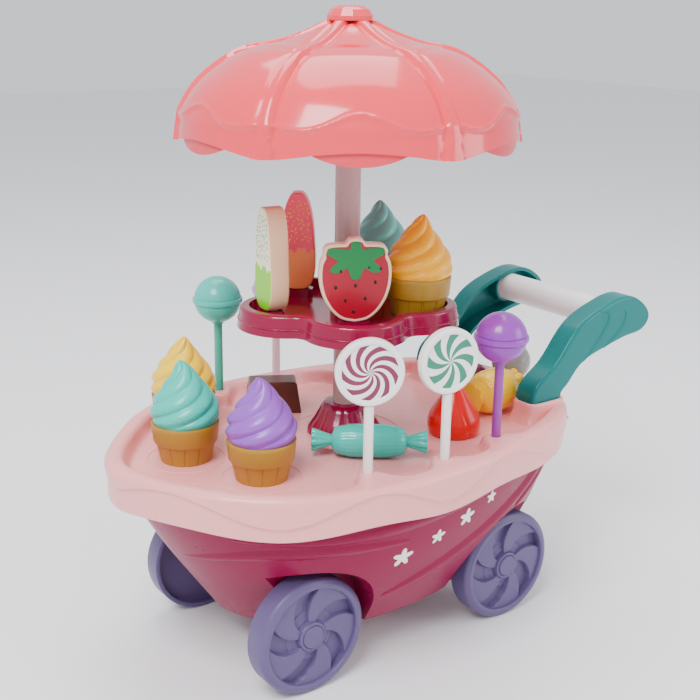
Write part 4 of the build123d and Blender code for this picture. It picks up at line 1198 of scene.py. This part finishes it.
class Lollipops:
    """Ball and disc lollipops on their sticks."""

    DISC_TURNS = {"red": -118.0, "green": -97.0}

    def build(self, cart: Cart) -> None:
        """Shows every lollipop."""
        for name, finish in BALLS.items():
            self.ball(cart, name + "_ball_lollipop_head", finish)
            cart.paint(name + "_ball_lollipop_stick", BALL_STICKS[name])
        for name, finish in DISCS.items():
            self.disc(cart, name + "_disc_lollipop_head", finish, self.DISC_TURNS[name])
            cart.paint(name + "_disc_lollipop_stick", STICK)

    def ball(self, cart: Cart, node: str, finish: Finish) -> None:
        """A ball with a broad seam ring, hollowed below for its stick."""
        low, high = cart.box(node)
        outer = (high[0] - low[0]) / 2
        radius = outer - 1.0
        middle = high[2] - radius
        profile = [(0, low[2] - middle), (4.1, low[2] - middle), (4.1, -radius + 1.2)]
        profile += self.arc(radius, -74, 66, 40)
        profile += [(radius - 0.5, -1.9), (outer - 0.3, -1.6), (outer, -0.9), (outer, 0.9),
                    (outer - 0.3, 1.6), (radius - 0.5, 1.9)]
        profile += self.arc(radius, 8, 82, 48) + [(0, radius)]
        foot = foot_of(low, high)
        cart.show(node + "_ball", placed(turned(profile, 128), (foot[0], foot[1], middle)), finish, node,
                  crease=40)

    @staticmethod
    def arc(radius: float, start: float, sweep: float, steps: int) -> list[tuple[float, float]]:
        """Points on a ball's section, from after `start` degrees, its ends left out."""
        angles = [math.radians(start + step * sweep / steps) for step in range(1, steps)]
        return [(radius * math.cos(angle), radius * math.sin(angle)) for angle in angles]

    def disc(self, cart: Cart, node: str, finish: Finish, turn: float) -> None:
        """A flat disc with a raised white rim and a wound print; `turn` is where it faces, in degrees."""
        low, high = cart.box(node)
        radius = (high[2] - low[2] - 0.4) / 2
        outline = hoop(spread_angles(144), radius, 0.0)[:, :2]
        (points, faces), _ = plate(outline, 3.0, 1.3, (0.0, 0.3, 0.55, 0.78, 0.84, 0.86, 0.88, 0.93))
        reach = np.hypot(points[:, 0], points[:, 1]) / radius
        sink = 0.9 * np.clip((0.84 - reach) / 0.03, 0, 1) * (1 - 0.6 * np.clip(1 - reach / 0.8, 0, 1) ** 2)
        points[:, 2] -= np.sign(points[:, 2]) * sink
        flat = np.column_stack([points[:, 0], points[:, 1], reach])
        foot = foot_of(low, high)
        shape = placed((points, faces), (foot[0], foot[1], high[2] - radius), *facing_axes(turn))
        cart.show(node + "_print", shape, finish, node, Print.PINWHEEL, flat=flat, crease=50)


@dataclass(frozen=True)
class LollySize:
    """An ice lolly: where its face looks, the side that is bitten (1 or -1), and its grains."""
    turn: float
    bite: int
    sprinkle: Finish
    grains: int = 46


class IceLollies:
    """Dipped ice lollies with a bite and sprinkles."""

    SIZES = {"green": LollySize(172.0, 1, FLECK), "pink": LollySize(232.0, -1, SPRINKLE)}
    WIDTH, HEIGHT, THICKNESS = 25.0, 64.0, 13.0
    POWER = 3.4
    GRAINS_TOP = 27.0
    GRAIN_GAP = 2.6

    def build(self, cart: Cart) -> None:
        """Shows both lollies."""
        for name, size in self.SIZES.items():
            node = name + "_popsicle"
            cart.paint(node + "_stick", TANG)
            self.lolly(cart, node, LOLLIES[name], size)

    def outline(self, bite: int) -> Line:
        """The lolly's edge seen from its middle: narrow domed top, soft foot, one bitten shoulder."""
        half, rise = self.WIDTH / 2, self.HEIGHT / 2
        bites = ((bite * 9.5, rise - 1.0, 4.2), (bite * 6.0, rise + 1.6, 3.4))
        made = []
        for angle in spread_angles(200):
            c, s = math.cos(angle), math.sin(angle)
            reach = 1 / ((abs(c) / half) ** self.POWER + (abs(s) / rise) ** self.POWER) ** (1 / self.POWER)
            x, y = reach * c, reach * s
            x *= 1 - 0.22 * (1 + y / rise) ** 1.5 / 2 - 0.10 * max(0.0, y / rise) ** 3
            for at_x, at_y, radius in bites:
                gap = math.hypot(x - at_x, y - at_y)
                if gap < radius:
                    shrink = 1 - (radius - gap) / math.hypot(x, y)
                    x, y = x * shrink, y * shrink
            made.append((x, y))
        return made

    def lolly(self, cart: Cart, node: str, finish: Finish, size: LollySize) -> None:
        """One lolly and the grains on its upper half."""
        low, high = cart.box(node)
        seat = (low + high) / 2, *facing_axes(size.turn)
        shape, flat = plate(self.outline(size.bite), self.THICKNESS / 2, 1.4)
        flat[:, 1] += self.HEIGHT / 2
        cart.show(node + "_bar", placed(shape, *seat), finish, node, Print.DIPPED, flat=flat, crease=40)
        scatter = np.random.default_rng(11)
        spots, aims = [], []
        while len(spots) < size.grains:
            x = scatter.uniform(-9.0, 9.0)
            y = scatter.uniform(0.0, self.GRAINS_TOP)
            inside = abs(x) < 9.5 - 4.5 * (y / self.GRAINS_TOP) ** 2
            if inside and all(math.hypot(x - a, y - b) > self.GRAIN_GAP for a, b, _ in spots):
                spots.append((x, y, self.THICKNESS / 2))
                turn = scatter.uniform(0, FULL)
                aims.append((math.cos(turn), math.sin(turn), 0))
        points, faces = turned([(0, -1.1), (0.28, -0.9), (0.34, 0), (0.28, 0.9), (0, 1.1)], 8)
        rod = (points[:, [2, 0, 1]] * (1.0, 1.0, 0.6), faces)
        grains = cart.copies[Facing.ROUND_AXIS].run(spots, aims, rod, cart.paints.material(size.sprinkle),
                                                    jitter=0.25)
        cart.show(node + "_grains", placed(grains, *seat), size.sprinkle, node, instead=False)


class Biscuit:
    """The strawberry biscuit: its edge and its cap are given by their right halves."""

    TURN = -119.0
    WIDTH, HALF_THICK, CAP_HALF_THICK = 44.0, 4.0, 4.35
    SEEDS = ((-9, 6), (8, 8), (-12, -4), (0, -3), (12, -1), (-6, -12), (6, -11), (-1, -19), (15, 7))
    EDGE = ((0.0, 1.0), (0.17, 0.97), (0.27, 0.87), (0.50, 0.86), (0.76, 0.83), (0.88, 0.70), (0.88, 0.58),
            (0.97, 0.40), (1.0, 0.12), (0.96, -0.18), (0.84, -0.48), (0.62, -0.76), (0.34, -0.94),
            (0.0, -1.0))
    CAP = ((0.0, 0.92), (0.13, 0.88), (0.18, 0.74), (0.42, 0.76), (0.74, 0.76), (0.78, 0.62), (0.58, 0.52),
           (0.50, 0.46), (0.64, 0.34), (0.70, 0.22), (0.48, 0.18), (0.24, 0.28), (0.12, 0.06), (0.0, 0.0))

    def closed(self, half_side: Line, height: float, middle: float = 0.0) -> Line:
        """A smooth closed edge from its right half, with its middle at a given share of its height."""
        points = smooth_line([(x * self.WIDTH / 2, (y - middle) * height / 2) for x, y in half_side], 90)
        return list(points) + [(-x, y) for x, y in points[-2:0:-1]]

    def build(self, cart: Cart) -> None:
        """Shows the biscuit, its cap and its seeds."""
        node = "strawberry_biscuit"
        low, high = cart.box(node)
        middle, height = (low + high) / 2, high[2] - low[2]
        across, up, ahead = facing_axes(self.TURN)
        shape, flat = plate(self.closed(self.EDGE, height), self.HALF_THICK, 1.2,
                            (0, 0.35, 0.6, 0.8, 0.90, 0.925, 0.955))
        cart.show(node + "_body", placed(shape, middle, across, up, ahead), BERRY, node, Print.BISCUIT,
                  flat=flat, crease=45)
        shape, _ = plate(self.closed(self.CAP, height, 0.5), self.CAP_HALF_THICK, 0.3)
        leaves = placed(shape, middle + np.array((0, 0, height / 4)), across, up, ahead)
        cart.show(node + "_cap", leaves, LEAF, node, instead=False)
        points, faces = turned([(0, -0.3), (0.9, -0.1), (1.1, 0.1), (0.7, 0.4), (0, 0.5)], 16)
        bead = (points * (0.8, 1.15, 1.0), faces)
        for face, sign in (("front", 1), ("back", -1)):
            spots = [(sign * x, y, self.HALF_THICK) for x, y in self.SEEDS]
            seeds = cart.copies[Facing.OUTWARD].run(spots, [(0, 0, 1)] * len(spots), bead,
                                                    cart.paints.material(SEED))
            axes = (np.array(across) * sign, up, np.array(ahead) * sign)
            cart.show(f"{node}_seeds_{face}", placed(seeds, middle, *axes), SEED, node, instead=False)


@dataclass(frozen=True)
class Wrap:
    """A twist-wrapped sweet: its direction, its body's radius and length, and a tail's length."""
    turn: float
    radius: float
    length: float
    tail: float


class Candies:
    """The loose sweets."""

    CHOCOLATE_TURN = -30
    WRAPS = {"teal": Wrap(-38.0, 10.5, 47.0, 12.5), "yellow": Wrap(8.0, 15.0, 32.0, 8.0),
             "plum": Wrap(80.0, 9.5, 22.0, 6.0)}

    def build(self, cart: Cart) -> None:
        """Shows every loose sweet."""
        for name, wrap in self.WRAPS.items():
            self.wrapped(cart, name + "_wrapped_candy", WRAPS[name], wrap)
        self.drop(cart)
        self.chocolate(cart)
        cart.paint("grey_ball_candy", GREY)

    def wrapped(self, cart: Cart, node: str, finish: Finish, wrap: Wrap) -> None:
        """A plump body with a pleated fan at each end."""
        low, high = cart.box(node)
        half, radius, tail = wrap.length / 2, wrap.radius, wrap.tail

        def pleats(angles: np.ndarray, reach: float, level: float) -> np.ndarray:
            share = max(0.0, (abs(level) - half) / tail)
            if share <= 0:
                return reach * (1 - 0.02 * np.cos(12 * angles) ** 8 * (abs(level) > 0.55 * half))
            return reach * (1 + 0.16 * min(1.0, share * 1.6) * (np.abs(np.cos(4 * angles)) ** 0.8 - 1.0))
        side = [(0.22 * radius, half + tail * 0.90), (0.68 * radius, half + tail - 0.2),
                (0.72 * radius, half + tail * 0.93), (0.56 * radius, half + tail * 0.55),
                (0.38 * radius, half + 1.6), (0.32 * radius, half + 0.2), (0.48 * radius, half - 0.6),
                (0.74 * radius, half * 0.92), (0.86 * radius, half * 0.76), (0.90 * radius, half * 0.70),
                (0.90 * radius, half * 0.64), (0.97 * radius, half * 0.56), (radius, half * 0.3)]
        tip = half + tail * 0.8
        profile = [(0, tip)] + side + [(reach, -level) for reach, level in reversed(side)] + [(0, -tip)]
        angle = math.radians(wrap.turn)
        along, aside = (math.cos(angle), math.sin(angle), 0), (-math.sin(angle), math.cos(angle), 0)
        shape = placed(turned(profile, 128, pleats), (low + high) / 2, aside, (0, 0, 1), along)
        cart.show(node + "_wrap", shape, finish, node, crease=60)

    def drop(self, cart: Cart) -> None:
        """A teardrop sweet with soft ribs."""
        low, high = cart.box("red_drop_candy")
        radius, height = (high[0] - low[0]) / 2, high[2] - low[2]

        def ribs(angles: np.ndarray, reach: float, level: float) -> np.ndarray:
            return reach * (1 - 0.05 * (1 - np.abs(np.cos(3 * angles + level * 0.05)) ** 0.6))
        outline = smooth_line([(0.84, 0.0), (0.93, 0.04), (0.985, 0.2), (0.90, 0.36), (0.64, 0.56),
                               (0.38, 0.74), (0.17, 0.90), (0.06, 0.98), (0, 1)], 60) * (radius, height)
        profile = np.vstack([[(0, 0), (radius * 0.7, 0)], outline])
        shape = placed(turned(profile, 128, ribs), foot_of(low, high))
        cart.show("red_drop", shape, DROP, "red_drop_candy", crease=45)

    def chocolate(self, cart: Cart) -> None:
        """The chocolate block and the beads round its top."""
        node = "chocolate_block"
        cart.paint(node, CHOCOLATE)
        low, high = cart.box(node)
        foot = foot_of(low, high)
        spots = [(x, side * 6.6, -0.2) for x in np.linspace(-12.5, 12.5, 8) for side in (-1, 1)]
        spots += [(side * 12.5, y, -0.2) for y in (-3.3, 0, 3.3) for side in (-1, 1)]
        bead = turned([(0, -0.6), (1.1, -0.4), (1.15, 0.0), (0.8, 0.15), (0, 0.2)], 20)
        beads = cart.copies[Facing.OUTWARD].run(spots, [(0, 0, 1)] * len(spots), bead,
                                                cart.paints.material(CHOCOLATE))
        angle = math.radians(self.CHOCOLATE_TURN)
        axes = ((math.cos(angle), math.sin(angle), 0), (-math.sin(angle), math.cos(angle), 0), (0, 0, 1))
        cart.show("chocolate_beads", placed(beads, (foot[0], foot[1], high[2]), *axes), CHOCOLATE, node,
                  instead=False)


@dataclass(frozen=True)
class Lamp:
    """A square lamp: its name, place, side and power."""
    name: str
    place: Point
    size: float
    power: float


class Studio:
    """Floor, light and camera."""

    FLOOR_HALF = 4
    SKY = (0.93, 0.95, 1.0, 1.0)
    LAMPS = (Lamp("key", (-0.9, -0.5, 1.4), 0.7, 30.0), Lamp("fill", (1.0, -1.1, 0.6), 0.8, 9.0),
             Lamp("top", (0.2, 0.4, 1.5), 0.9, 12.0))
    LAMPS_LOOK_AT = (0, 0, 0.2)
    EYE = (-0.46006, -0.57953, 0.40769)
    YAW_PITCH_ROLL = (36.76, -17.05, 0.85)
    SENSOR, LENS = 36.0, 60.14

    def __init__(self, paints: Paintbox) -> None:
        self.paints = paints

    def build(self) -> None:
        """Sets up the studio."""
        half = self.FLOOR_HALF
        corners = [(-half, -half, 0), (half, -half, 0), (half, half, 0), (-half, half, 0)]
        floor = bpy.data.objects.new("floor", plain_mesh(corners, [(0, 1, 2, 3)]))
        floor.data.materials.append(self.paints.material(FLOOR))
        bpy.context.scene.collection.objects.link(floor)
        world = bpy.data.worlds.new("studio")
        world.use_nodes = True
        sky = world.node_tree.nodes["Background"].inputs
        sky["Color"].default_value = self.SKY
        sky["Strength"].default_value = 1.0
        bpy.context.scene.world = world
        for lamp in self.LAMPS:
            self.light(lamp)
        self.camera()

    def light(self, lamp: Lamp) -> None:
        """A soft square lamp that looks at the cart."""
        light = bpy.data.lights.new(lamp.name, "AREA")
        light.shape = "SQUARE"
        light.size = lamp.size
        light.energy = lamp.power
        stand = bpy.data.objects.new(lamp.name, light)
        stand.location = lamp.place
        look = Vector(self.LAMPS_LOOK_AT) - Vector(lamp.place)
        stand.rotation_euler = look.to_track_quat("-Z", "Y").to_euler()
        bpy.context.scene.collection.objects.link(stand)

    def camera(self) -> None:
        """The camera of the main view."""
        yaw, pitch, roll = (math.radians(angle) for angle in self.YAW_PITCH_ROLL)
        ahead = Vector((math.sin(yaw) * math.cos(pitch), math.cos(yaw) * math.cos(pitch), math.sin(pitch)))
        right = Vector((math.cos(yaw), -math.sin(yaw), 0))
        up = right.cross(ahead)
        side = math.cos(roll) * right + math.sin(roll) * up
        lift = math.cos(roll) * up - math.sin(roll) * right
        data = bpy.data.cameras.new("camera")
        data.sensor_width, data.lens = self.SENSOR, self.LENS
        camera = bpy.data.objects.new("camera", data)
        turn = Matrix((side, lift, -ahead)).transposed().to_4x4()
        camera.matrix_world = Matrix.Translation(self.EYE) @ turn
        bpy.context.scene.collection.objects.link(camera)
        bpy.context.scene.camera = camera


def main() -> None:
    """Builds the whole scene round the frame."""
    logging.basicConfig(level=logging.INFO)
    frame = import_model()
    cart = Cart(frame)
    for part in (Hull(), RunningGear(), SweetTray(), Handle(), PoleAndDish(), Umbrella(), IceCreams(),
                 Lollipops(), IceLollies(), Biscuit(), Candies()):
        log.info("building %s", type(part).__name__)
        part.build(cart)
    Studio(cart.paints).build()


if __name__ == "__main__":
    main()
